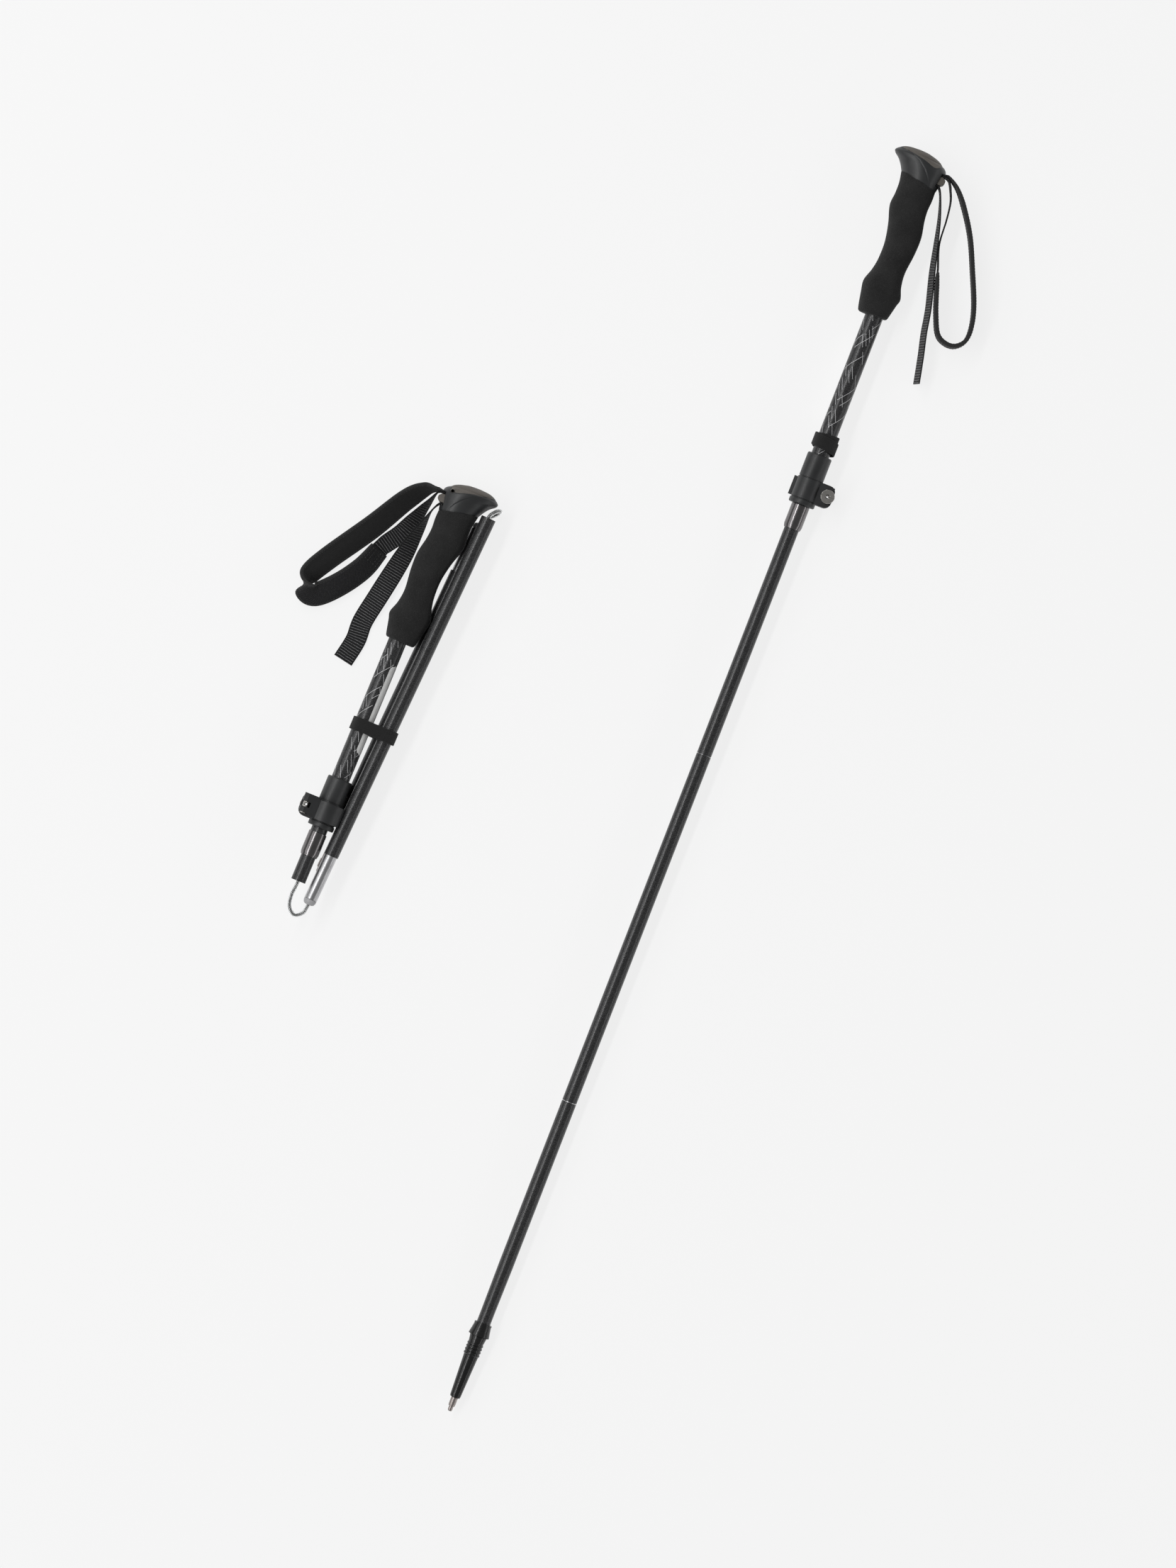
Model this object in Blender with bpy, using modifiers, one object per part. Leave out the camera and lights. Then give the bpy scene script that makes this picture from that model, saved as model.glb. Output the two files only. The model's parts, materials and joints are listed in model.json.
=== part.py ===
"""Pair of trekking poles: one folded and strapped, one at full length."""

import bmesh
import bpy
from math import atan2, cos, pi, radians, sin, tan
from mathutils import Matrix, Vector

MM = 0.001
GAP = 0.35                      # clearance between neighbouring solids, mm
SEG = 24                        # segments round a turned piece

# Shaft stations in mm along the pole axis; 0 is the lower end of the lock.
HEAD_PIN = (5.8, 349.3)
PIN_HIDDEN_END, PIN_SHOWN_END = -12.9, 17.9     # across the head, towards the lever side
POCKET = (-6.0, 333.0, 346.2, 11.6)     # inner end, bottom, top, half width
WEDGE = (-1.5, 17.0, 335.5, 343.7, 10.4)
STEM_R, STEM_LOW, STEM_TOP = 11.0, 262.0, 331.5
TUBE_R, TUBE_BORE = 9.0, 8.45
ADJUST_R, ADJUST_BORE, ADJUST_TOP = 8.1, 7.65, 150.0
SHAFT_R, SHAFT_BORE = 7.3, 6.65
SPIGOT_R, SPIGOT_BORE = 6.35, 5.3
WIRE_R, WIRE_BORE = 2.0, 2.35
INNER_LENGTH, MIDDLE_LENGTH, LOWER_LENGTH = 290.0, 360.0, 262.0
BUTTON_ABOVE_MOUTH = 228.6
PIVOT = (21.0, 12.0)            # lever axis in the section plane
LOCK_Z = 16.0
PAD_WIDTH, PAD_THICK = 25.5, 4.0
WEB_WIDTH, WEB_THICK = 20.0, 1.2
STRAP_FOOT = 1.7                # a strap's centre stays this far over its lower edge
TAIL_LOW = (5.5, 1.6, 10.6)     # tail over the floor: folded bend, folded end, straight
BAND_Z, BAND_INSIDE, BAND_OUTSIDE = 106.5, 0.7, 2.3

# Layout of the two poles.
EXT_MOUTH, EXT_LOWER = -259.6, -620.0
EXT_HEIGHT, EXT_SLOPE = 17.2, 0.00758
FOLD_MOUTH, FOLD_SHIFT = -55.5, -4.5
FOLD_PLAN = radians(1.26)
FOLD_POINT, FOLD_POINT_Z = (-317.4, -322.7), 137.0
FOLD_HEIGHT, FOLD_SLOPE = 29.19, -0.0281
FOLD_A_HEIGHT, FOLD_B_HEIGHT = 27.9, 10.45
FOLD_A_OFFSET, FOLD_SPREAD, FOLD_B_BACK = 20.87, 0.0455, 5.5
INSERT = 46.0                   # how far a spigot enters the tube above it

MATERIALS = {
    "head_plastic": ((0.045, 0.045, 0.048), 0.45, 0.0),
    "pad_plastic": ((0.085, 0.080, 0.076), 0.6, 0.0),
    "foam": ((0.016, 0.016, 0.017), 0.92, 0.0),
    "webbing": ((0.018, 0.018, 0.019), 0.9, 0.0),
    "pad_fabric": ((0.014, 0.014, 0.015), 0.95, 0.0),
    "tube_black": ((0.012, 0.012, 0.013), 0.28, 0.6),
    "lock_plastic": ((0.030, 0.030, 0.032), 0.5, 0.0),
    "steel": ((0.62, 0.60, 0.57), 0.28, 1.0),
    "gunmetal": ((0.30, 0.30, 0.31), 0.18, 1.0),
    "spigot_aluminium": ((0.72, 0.72, 0.73), 0.25, 1.0),
    "nose_plastic": ((0.42, 0.42, 0.43), 0.5, 0.0),
    "wire": ((0.50, 0.50, 0.50), 0.3, 0.8),
    "tip_plastic": ((0.016, 0.016, 0.017), 0.35, 0.0),
    "carbide": ((0.36, 0.33, 0.32), 0.35, 1.0),
}

FOAM_ROWS = (
    ((-15.6, 195.3), (11.7, 196.0), 13.2), ((-17.6, 198.0), (13.2, 198.6), 14.2),
    ((-20.7, 213.0), (16.3, 212.0), 15.3), ((-22.4, 225.0), (18.0, 219.5), 15.6),
    ((-18.7, 237.0), (14.4, 231.0), 15.2), ((-16.6, 249.0), (12.9, 245.0), 14.8),
    ((-16.6, 266.0), (15.0, 265.0), 15.0), ((-19.9, 284.0), (15.3, 282.0), 15.4),
    ((-25.0, 301.5), (12.4, 298.0), 16.0), ((-24.3, 314.0), (11.4, 309.0), 16.4),
    ((-24.4, 325.0), (12.0, 319.0), 16.8), ((-26.3, 335.8), (11.8, 327.6), 17.0),
)
HEAD_ROWS = (
    ((-26.4, 336.4), (12.0, 328.2), 17.0), ((-29.5, 341.8), (13.6, 337.0), 18.6),
    ((-33.5, 347.0), (14.8, 343.5), 19.4), ((-38.3, 351.0), (15.0, 348.5), 19.5),
    ((-39.5, 353.8), (13.0, 351.8), 18.6), ((-37.4, 356.4), (9.5, 354.0), 16.8),
)
TOP_ROWS = (
    ((-36.4, 356.9), (8.9, 354.5), 16.2), ((-33.5, 359.0), (6.6, 356.4), 14.4),
    ((-28.0, 360.8), (2.0, 358.5), 11.0), ((-20.0, 361.5), (-5.5, 360.6), 5.5),
)

# Strap centre lines in the shaft's own x and z, hand loop first.
EXT_PAD = ((18.2, 348.6), (31.7, 338.5), (45.3, 322.0), (59.8, 299.2), (72.9, 271.2),
           (85.8, 241.7), (91.4, 221.3), (91.3, 206.2), (84.2, 197.4), (74.3, 195.9),
           (63.8, 201.5), (55.1, 219.2), (48.0, 239.0), (42.2, 257.0))
EXT_WEB = ((40.9, 261.5), (33.8, 283.1), (31.8, 307.9), (29.2, 325.2), (24.5, 336.5),
           (20.6, 342.6))
EXT_TAIL = ((18.3, 325.0), (25.0, 305.4), (30.9, 282.2), (37.6, 254.8), (46.4, 222.3),
            (51.0, 198.3), (56.4, 176.1), (62.1, 149.8))
FOLD_PAD = ((18.6, 349.6), (30.5, 343.5), (45.0, 325.5), (65.9, 288.2), (93.1, 245.0),
            (104.5, 222.5), (102.6, 210.5), (91.6, 207.6), (74.0, 225.0),
            (58.9, 248.1), (50.6, 271.0))
FOLD_WEB = ((46.6, 279.0), (37.1, 293.8), (31.0, 309.4), (25.0, 328.0), (20.6, 340.6))
FOLD_TAIL = ((18.6, 322.5), (22.6, 300.7), (27.6, 268.9), (34.7, 228.9), (39.5, 201.1),
             (38.9, 181.3), (42.8, 158.8))
SLOT_PATH = ((17.0, 344.95), (8.0, 344.95), (1.0, 344.95), (-3.2, 342.7),
             (-3.9, 339.6), (-3.2, 336.5), (1.0, 334.25), (8.0, 334.25),
             (13.5, 333.6))


def clear_scene():
    for obj in list(bpy.data.objects):
        bpy.data.objects.remove(obj)


def make_collection(name):
    group = bpy.data.collections.new(name)
    bpy.context.scene.collection.children.link(group)
    return group


def make_materials():
    made = {}
    for name, (colour, roughness, metallic) in MATERIALS.items():
        mat = bpy.data.materials.new(name)
        mat.use_nodes = True
        shader = mat.node_tree.nodes["Principled BSDF"]
        shader.inputs["Base Color"].default_value = (*colour, 1.0)
        shader.inputs["Roughness"].default_value = roughness
        shader.inputs["Metallic"].default_value = metallic
        made[name] = mat
    return made


clear_scene()
PARTS = make_collection("trekking_poles")
CUTTERS = make_collection("cutters")
SLOTS = make_materials()


def shift(x, y, z):
    return Matrix.Translation(Vector((x, y, z)) * MM)


def frame_from(origin, along, sideways):
    """Right-handed frame: z along, x as near to sideways as it can be; mm in."""
    z = Vector(along).normalized()
    x = Vector(sideways)
    x = (x - z * x.dot(z)).normalized()
    y = z.cross(x)
    rows = Matrix((x, y, z)).transposed().to_4x4()
    rows.translation = Vector(origin) * MM
    return rows


def add_object(name, mesh, slot, matrix, group=None):
    obj = bpy.data.objects.new(name, mesh)
    (group or PARTS).objects.link(obj)
    obj.matrix_world = matrix
    if slot:
        mesh.materials.append(SLOTS[slot])
    if group is CUTTERS:
        obj.hide_render = True
        obj.display_type = "WIRE"
    return obj


def smooth_by_angle(mesh, degrees=32.0):
    mesh.polygons.foreach_set("use_smooth", [True] * len(mesh.polygons))
    mesh.set_sharp_from_angle(angle=radians(degrees))


def turned(name, profile, slot, matrix, segments=SEG, group=None):
    """Profile of (radius, height), top first; a closed ring unless it meets the axis."""
    solid = profile[0][0] == 0 and profile[-1][0] == 0
    mesh = bpy.data.meshes.new(name)
    verts = [(r * MM, 0.0, z * MM) for r, z in profile]
    edges = [(i, i + 1) for i in range(len(verts) - 1)]
    if not solid:
        edges.append((len(verts) - 1, 0))
    mesh.from_pydata(verts, edges, [])
    obj = add_object(name, mesh, slot, matrix, group)
    screw = obj.modifiers.new("turn", "SCREW")
    screw.angle = 2 * pi
    screw.axis = "Z"
    screw.steps = segments
    screw.render_steps = segments
    screw.use_merge_vertices = True
    screw.merge_threshold = 0.00001
    screw.use_smooth_shade = True
    return obj


def ring(outer, inner, top, bottom):
    return ((inner, top), (outer, top), (outer, bottom), (inner, bottom))


def mesh_object(name, verts, faces, slot, matrix, group=None, origin=(0, 0, 0)):
    """Verts in mm in the frame of matrix; the object's own origin is put at origin."""
    base = Vector(origin)
    mesh = bpy.data.meshes.new(name)
    mesh.from_pydata([(Vector(v) - base) * MM for v in verts], [], faces)
    work = bmesh.new()
    work.from_mesh(mesh)
    bmesh.ops.recalc_face_normals(work, faces=work.faces)
    work.to_mesh(mesh)
    work.free()
    if slot:
        smooth_by_angle(mesh)
    return add_object(name, mesh, slot, matrix @ shift(*base), group)


def loft(name, rings, slot, matrix, closed=False, **more):
    """Skin a list of equally long vertex rings; ends are capped unless closed."""
    count = len(rings[0])
    verts = [v for r in rings for v in r]
    spans = len(rings) if closed else len(rings) - 1
    faces = []
    for i in range(spans):
        a, b = i * count, ((i + 1) % len(rings)) * count
        for j in range(count):
            k = (j + 1) % count
            faces.append((a + j, a + k, b + k, b + j))
    if not closed:
        faces.append(tuple(range(count))[::-1])
        faces.append(tuple(range(len(verts) - count, len(verts))))
    return mesh_object(name, verts, faces, slot, matrix, **more)


def spline(points, steps):
    """Points on a smooth curve through the given points."""
    pts = [Vector(p) for p in points]
    pts = [2 * pts[0] - pts[1], *pts, 2 * pts[-1] - pts[-2]]
    out = []
    for i in range(1, len(pts) - 2):
        a, b, c, d = pts[i - 1:i + 3]
        for s in range(steps):
            t = s / steps
            out.append(0.5 * ((2 * b) + (c - a) * t + (2 * a - 5 * b + 4 * c - d) * t * t
                              + (3 * b - a - 3 * c + d) * t ** 3))
    return [*out, pts[-2]]


def grip_loft(name, rows, slot, matrix, steps, narrow, count=22):
    """Oval rows given by their front point, back point and half width."""
    flat = spline([(f[0], f[1], b[0], b[1], w) for f, b, w in rows], steps)
    rings = []
    for fx, fz, bx, bz, half in flat:
        centre, reach = (fx + bx) / 2, (bx - fx) / 2
        ring_now = []
        for j in range(count):
            turn = 2 * pi * j / count
            c, s = cos(turn), sin(turn)
            ring_now.append((centre + reach * c, half * s * (1 + narrow * c),
                             fz + (bz - fz) * (1 + c) / 2))
        rings.append(ring_now)
    return loft(name, rings, slot, matrix)


def ribbon(name, path, across, width, thick, slot, matrix, steps=2):
    """Flat strap: a rectangle swept along path, its width along the across vectors."""
    line = spline(path, steps)
    sides = spline(across, steps)
    widths = spline([(w, 0) for w in width], steps)
    thicks = spline([(t, 0) for t in thick], steps)
    rings = []
    for i, point in enumerate(line):
        ahead = (line[min(i + 1, len(line) - 1)] - line[max(i - 1, 0)]).normalized()
        side = (sides[i] - ahead * sides[i].dot(ahead)).normalized()
        normal = ahead.cross(side)
        w, t = widths[i][0] / 2, thicks[i][0] / 2
        rings.append([point + side * a * w + normal * b * t
                      for a, b in ((-1, -1), (1, -1), (1, 1), (-1, 1))])
    return loft(name, rings, slot, matrix)


def cut(target, *cutters):
    for cutter in cutters:
        mod = target.modifiers.new("cut_" + cutter.name, "BOOLEAN")
        mod.operation = "DIFFERENCE"
        mod.solver = "EXACT"
        mod.object = cutter


def join(target, *others):
    for other in others:
        mod = target.modifiers.new("join_" + other.name, "BOOLEAN")
        mod.operation = "UNION"
        mod.solver = "EXACT"
        mod.object = other


def rod_tool(name, radius, low, high, matrix, segments=SEG):
    """Plain cylinder from low to high on the z axis of matrix, as a tool."""
    profile = ((0, high), (radius, high), (radius, low), (0, low))
    return turned(name, profile, None, matrix, segments, CUTTERS)


def block_tool(name, low, high, matrix):
    """Box between two corners, as a tool."""
    (x0, y0, z0), (x1, y1, z1) = low, high
    rings = [[(x0, y0, z), (x1, y0, z), (x1, y1, z), (x0, y1, z)] for z in (z0, z1)]
    return loft(name, rings, None, matrix, group=CUTTERS)


def prism(name, outline, low, high, slot, matrix, **more):
    """Outline of (x, y) extruded from low to high."""
    rings = [[(x, y, z) for x, y in outline] for z in (low, high)]
    return loft(name, rings, slot, matrix, **more)


def arc(centre, radius, start, end, count):
    turns = [radians(start + (end - start) * i / count) for i in range(count + 1)]
    return [(centre[0] + radius * cos(a), centre[1] + radius * sin(a)) for a in turns]


def lay_along(x, y, z, direction, sideways=(0, 0, 1)):
    """Frame at a shaft point whose z runs along direction."""
    return frame_from((x, y, z), direction, sideways)


def build_grip(pre, at, folded):
    head = grip_loft(pre + "grip_head", HEAD_ROWS, "head_plastic", at, 2, 0.12)
    stem = rod_tool(pre + "stem", STEM_R, STEM_LOW, STEM_TOP + 6, at)
    bore = rod_tool(pre + "stem_bore", TUBE_R + GAP, STEM_LOW - 5, STEM_TOP, at)
    x0, z0, z1, half = POCKET
    pocket = block_tool(pre + "pocket", (x0, -half, z0), (30, half, z1), at)
    across = lay_along(HEAD_PIN[0], 0, HEAD_PIN[1], (0, 1, 0))
    hole = rod_tool(pre + "pin_hole", 2.3, PIN_HIDDEN_END - GAP, 30, at @ across, 16)
    join(head, stem)
    cut(head, bore, pocket, hole)
    grip_loft(pre + "top_pad", TOP_ROWS, "pad_plastic", at, 2, 0.12)
    shown, hidden = PIN_SHOWN_END, PIN_HIDDEN_END
    pin = ((0, shown), (1.7, shown), (2.0, shown - 0.4), (2.0, hidden + 0.4), (1.7, hidden),
           (0, hidden))
    turned(pre + "strap_pin", pin, "steel", at @ across, 16)
    x0, x1, z0, z1, half = WEDGE
    mid = (z0 + z1) / 2
    side = [(x0, mid - 2.6), (x0 + 3, z0), (x1 - 3, z0), (x1, mid - 1.5), (x1, mid + 1.5),
            (x1 - 3, z1), (x0 + 3, z1), (x0, mid + 2.6)]
    rings = [[(x, y, z) for x, z in side] for y in (-half, half)]
    loft(pre + "strap_wedge", rings, "head_plastic", at)
    foam = grip_loft(pre + "foam_grip", FOAM_ROWS, "foam", at, 2, 0.05)
    cut(foam, rod_tool(pre + "foam_wide", STEM_R + GAP, STEM_LOW - GAP, 345, at),
        rod_tool(pre + "foam_bore", TUBE_R + GAP, 190, STEM_LOW, at))
    turned(pre + "upper_tube", ring(TUBE_R, TUBE_BORE, STEM_TOP - GAP, 12.0),
           "tube_black", at)
    build_wrist_strap(pre, at, folded)


def resting_height(points, i, lean, half):
    """Height of a leaning strap's middle when its lower edge lies on the floor."""
    before, after = points[max(i - 1, 0)], points[min(i + 1, len(points) - 1)]
    ahead = Vector((after[0] - before[0], 0, after[1] - before[1])).normalized()
    side = (lean - ahead * lean.dot(ahead)).normalized()
    return half * abs(side.y) + PAD_THICK / 2 * abs(ahead.cross(side).y) + STRAP_FOOT


def build_wrist_strap(pre, at, folded):
    """Hand loop standing on its edge, webbing through the head's slot, loose tail."""
    pad, web, tail = (FOLD_PAD, FOLD_WEB, FOLD_TAIL) if folded else (
        EXT_PAD, EXT_WEB, EXT_TAIL)
    lean = Vector((8.0, 12.0, 23.0)) if folded else Vector((0, -1, 0))
    level = Vector((0, 1, 0)) if folded else Vector((0, -1, 0))

    def height(z, over):
        if folded:
            return over - (FOLD_HEIGHT + FOLD_SLOPE * z)
        return (EXT_HEIGHT + EXT_SLOPE * z) - over

    def stand(points, first, last, half):
        out, sides = [], []
        count = len(points) - 1
        for i, (x, z) in enumerate(points):
            near = max(0.0, 1 - i / 2.5) if first else 0.0
            far = max(0.0, 1 - (count - i) / 2.5) if last else 0.0
            share = near + far
            rest = resting_height(points, i, lean, half)
            out.append((x, height(z, rest + (axis_height - rest) * share), z))
            sides.append(level.lerp(lean.normalized(), 1 - share))
        return out, sides

    axis_height = (FOLD_HEIGHT + FOLD_SLOPE * 345) if folded else (
        EXT_HEIGHT + EXT_SLOPE * 345)
    path, sides = stand(pad, True, False, PAD_WIDTH / 2)
    count = len(path)
    widths = [22.0] + [PAD_WIDTH] * (count - 2) + [23.0]
    thicks = [1.2, 2.4] + [PAD_THICK] * (count - 3) + [2.6]
    ribbon(pre + "wrist_pad", path, sides, widths, thicks, "pad_fabric", at)
    path, sides = stand(web, False, True, 12.0)
    slot = [(x, 0.0, z) for x, z in SLOT_PATH]
    tail_path, tail_sides = [], []
    last = len(tail) - 1
    for i, (x, z) in enumerate(tail):
        share = min(1.0, i / 3)
        low = TAIL_LOW[(1 if i > 3 else 0) if folded else 2]
        over = axis_height + (low - axis_height) * share
        tail_path.append((x, height(z, over), z))
        flat = Vector((1, 0, 0.25)) if folded else Vector((0.25, -1, 0))
        tail_sides.append(level.lerp(flat, share).normalized())
    path = path + slot + tail_path
    sides = sides + [level] * len(slot) + tail_sides
    count = len(path)
    ribbon(pre + "wrist_webbing", path, sides, [WEB_WIDTH] * count, [WEB_THICK] * count,
           "webbing", at)


def build_bundle_ring(pre, at):
    profile = ((9.5, 76), (12.0, 75.6), (12.2, 66.5), (14.2, 65.5), (14.4, 53.5),
               (9.5, 53))
    turned(pre + "bundle_strap", profile, "webbing", at)


def build_bundle_band(pre, at, circles, station, width=13.0):
    """Band round several parallel tubes: the hull of circles given as (x, y, r)."""
    def hull_of(extra):
        cloud = []
        for i, (x, y, r) in enumerate(circles):
            for j in range(28):
                turn = 2 * pi * j / 28
                cloud.append((x + (r + extra) * cos(turn), y + (r + extra) * sin(turn)))
        return cloud

    def hull_order(cloud):
        order = sorted(range(len(cloud)), key=lambda i: cloud[i])

        def half(indices):
            chain = []
            for i in indices:
                while len(chain) > 1:
                    (ax, ay), (bx, by) = cloud[chain[-2]], cloud[chain[-1]]
                    cx, cy = cloud[i]
                    if (bx - ax) * (cy - ay) - (by - ay) * (cx - ax) > 1e-6:
                        break
                    chain.pop()
                chain.append(i)
            return chain[:-1]
        return half(order) + half(order[::-1])

    inner, outer = hull_of(BAND_INSIDE), hull_of(BAND_OUTSIDE)
    order = hull_order(outer)
    low, high = station - width / 2, station + width / 2
    rings = []
    for cloud, z in ((outer, low), (outer, high), (inner, high), (inner, low)):
        rings.append([(cloud[i][0], cloud[i][1], z) for i in order])
    loft(pre + "bundle_strap", rings, "webbing", at, closed=True)


def build_lock(pre, at):
    body = ((9.35, 51), (11.6, 51), (12.25, 50), (12.25, 27.2), (11.8, 26.9),
            (11.8, 26.3), (12.7, 26), (12.7, 6), (12.1, 5.6), (12.1, 5.1), (13.1, 4.6),
            (13.1, 0.8), (12.4, 0), (8.5, 0), (8.5, 10), (9.35, 10))
    collar = turned(pre + "lock_collar", body, "lock_plastic", at, 36)
    ear = [(9.6, 4.6), *arc((20.1, 11.1), 6.5, -90, 0, 5), *arc((20.6, 20.9), 6.0, 0, 90, 5),
           (9.6, 27.0)]
    rings = [[(x, y, z) for x, z in ear] for y in (-7.0, 7.0)]
    ears = loft(pre + "ears", rings, None, at, group=CUTTERS)
    keep = rod_tool(pre + "ear_bore", 9.35, 10, 40, at, 36)
    slit = block_tool(pre + "slit", (6.0, -1.0, -2.0), (30.0, 1.0, 28.4), at)
    screw_axis = lay_along(PIVOT[0], 0, LOCK_Z, (0, 1, 0))
    hole = rod_tool(pre + "screw_hole", 1.95, -12, 12, at @ screw_axis, 16)
    join(collar, ears)
    cut(collar, keep, slit, hole)

    outline = arc((0, 0), 13.15, 160, 52, 12) + arc(PIVOT, 4.7, 205, 395, 10)[1:]
    outline += [(21.0, 17.3)] + arc((0, 0), 16.7, 50, 163, 12)[1:]
    lever = prism(pre + "lock_lever", outline, 6.2, 26.8, "lock_plastic", at,
                  origin=(*PIVOT, LOCK_Z))
    above = [(-20, 25.1), (10.5, 25.1), (12.5, 25.5), (14.5, 26.4), (16.8, 27.3),
             (16.8, 30), (-20, 30)]
    below = [(40, 7.9), (17.5, 7.9), (15.5, 7.5), (13.5, 6.6), (11.2, 5.6), (11.2, 3),
             (40, 3)]
    jogs = [loft(pre + name, [[(x, y, z) for x, z in side] for y in (-20, 30)], None, at,
                 group=CUTTERS) for name, side in (("over", above), ("under", below))]
    pin_frame = at @ shift(PIVOT[0], PIVOT[1], LOCK_Z)
    cut(lever, *jogs, rod_tool(pre + "lever_hole", 3.3, -15, 15, pin_frame, 16),
        block_tool(pre + "fork", (16.6, 0, LOCK_Z - 2.6), (30, 20, LOCK_Z + 2.6), at))
    barrel = turned(pre + "barrel_pin",
                    ((0, 9), (2.7, 9), (3.0, 8.6), (3.0, -8.6), (2.7, -9), (0, -9)),
                    "steel", pin_frame, 16)
    cut(barrel, rod_tool(pre + "barrel_hole", 1.95, -6, 6,
                         at @ lay_along(*PIVOT, LOCK_Z, (0, 1, 0)), 16))
    screw = ((0, 15.5), (1.3, 15.5), (1.6, 15.2), (1.6, -10.4), (1.3, -10.8),
             (0, -10.8))
    turned(pre + "clamp_screw", screw, "steel", at @ screw_axis, 16)
    nut = ((1.95, -7.4), (6.6, -7.4), (7.0, -7.8), (7.0, -10.9), (6.6, -11.3),
           (1.95, -11.3))
    turned(pre + "dial_nut", nut, "steel", at @ screw_axis, 24)


def build_slider(pre, at, drop, mouth, pressed):
    """Adjuster with its ferrule, the tube inside it, its button and leaf spring."""
    turned(pre + "adjuster_tube", ring(ADJUST_R, ADJUST_BORE, ADJUST_TOP, -20.0),
           "tube_black", at @ shift(0, 0, drop))
    ferrule = ((8.45, -0.5), (9.0, -0.5), (9.1, -1.6), (9.1, -20.0), (9.0, -22.0),
               (8.2, -25.0), (7.7, -25.0), (7.7, -20.4), (8.45, -20.4))
    turned(pre + "ferrule", ferrule, "gunmetal", at @ shift(0, 0, drop), 36)
    base = at @ shift(0, 0, mouth)
    inner = turned(pre + "inner_tube", ring(SHAFT_R, SHAFT_BORE, INNER_LENGTH, 0.0),
                   "tube_black", base)
    button_axis = base @ lay_along(0, 0, BUTTON_ABOVE_MOUTH, (0, 1, 0))
    cut(inner, rod_tool(pre + "button_hole", 2.75, 3.0, 12.0, button_axis, 16))
    button = ((0, 8.6), (1.6, 8.5), (2.4, 7.9), (2.4, 4.5), (3.2, 4.5), (3.2, 3.6),
              (0, 3.6))
    turned(pre + "snap_button", button, "steel",
           button_axis @ shift(0, 0, -1.5 if pressed else 0), 16)
    tip = 1.5 if not pressed else 0.0
    top = BUTTON_ABOVE_MOUTH
    path = ((0, 1.4 + tip, top + 4), (0, 1.4 + tip, top - 4), (0, tip, top - 16),
            (0, -2.0, top - 23), (0, -4.6, top - 20), (0, -5.3, top - 12),
            (0, -5.3, top))
    ribbon(pre + "button_spring", path, [(1, 0, 0)] * 7, [5.0] * 7, [0.5] * 7,
           "steel", base)


def spigot_and_nose(pre, part, at):
    turned(pre + part + "_spigot", ring(SPIGOT_R, SPIGOT_BORE, 46.0, -30.0),
           "spigot_aluminium", at)
    nose = ((WIRE_BORE, 52.0), (3.4, 52.0), (5.2, 51.0), (6.1, 49.0), (6.35, 46.35),
            (4.95, 46.35), (4.95, 40.0), (WIRE_BORE, 40.0))
    turned(pre + part + "_nose", nose, "nose_plastic", at)


def build_middle(pre, at):
    spigot_and_nose(pre, "middle", at)
    turned(pre + "middle_tube", ring(SHAFT_R, SHAFT_BORE, 0.0, -MIDDLE_LENGTH),
           "tube_black", at)


def build_lower(pre, at):
    spigot_and_nose(pre, "lower", at)
    tube = ((SHAFT_BORE, 0), (SHAFT_R, 0), (SHAFT_R, -170), (6.85, -215),
            (6.85, -LOWER_LENGTH), (6.2, -LOWER_LENGTH), (6.2, -215),
            (SHAFT_BORE, -170))
    turned(pre + "lower_tube", tube, "tube_black", at)
    collar = ((7.25, -229.7), (8.6, -229.7), (8.9, -230.6), (8.6, -231.6),
              (9.4, -236.5), (10.4, -241.5), (10.4, -242.5), (7.25, -242.5))
    turned(pre + "basket_collar", collar, "tip_plastic", at, 36)
    body = [(7.25, -243.0), (8.5, -243.0), (7.45, -250.0)]
    for i in range(4):
        low = -250.6 - 3.3 * i
        body += [(8.1, low - 0.5), (8.1, low - 1.5), (7.3, low - 2.2)]
    body += [(7.1, -266.0), (5.3, -304.5), (4.9, -306.3), (2.9, -306.3),
             (2.9, -296.0), (0, -296.0)]
    body = [(0, -263.0), (7.25, -263.0), *body]
    turned(pre + "tip_body", body, "tip_plastic", at)
    holder = ((0, -297.0), (2.5, -297.0), (2.5, -306.7), (3.35, -306.7),
              (3.35, -314.0), (3.0, -315.6), (2.55, -315.6), (2.55, -311.0),
              (0, -311.0))
    turned(pre + "tip_holder", holder, "carbide", at, 16)
    tip = ((0, -311.5), (2.2, -311.5), (2.25, -319.4), (1.7, -320.6), (0, -320.6))
    turned(pre + "carbide_tip", tip, "carbide", at, 16)


def wire_along(name, points, matrix):
    """Round wire swept through points by carrying one frame along the path."""
    rings = []
    side = None
    for i, point in enumerate(points):
        ahead = (points[min(i + 1, len(points) - 1)] - points[max(i - 1, 0)]).normalized()
        if side is None:
            side = ahead.orthogonal().normalized()
        side = (side - ahead * side.dot(ahead)).normalized()
        other = ahead.cross(side)
        rings.append([point + (side * cos(pi * j / 5) + other * sin(pi * j / 5)) * WIRE_R
                      for j in range(10)])
    return loft(name, rings, "wire", matrix)


def fold_hinge(start, start_down, end, end_down):
    """Axis, pivot and angle of the turn that takes start to end and its direction."""
    link = end - start
    axis = (start_down - end_down).cross(link).normalized()
    a = start_down - axis * start_down.dot(axis)
    b = end_down - axis * end_down.dot(axis)
    angle = atan2(a.cross(b).dot(axis), a.dot(b))
    pivot = (start + end) / 2 + axis.cross(link) / (2 * tan(angle / 2))
    return axis, pivot, angle


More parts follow.
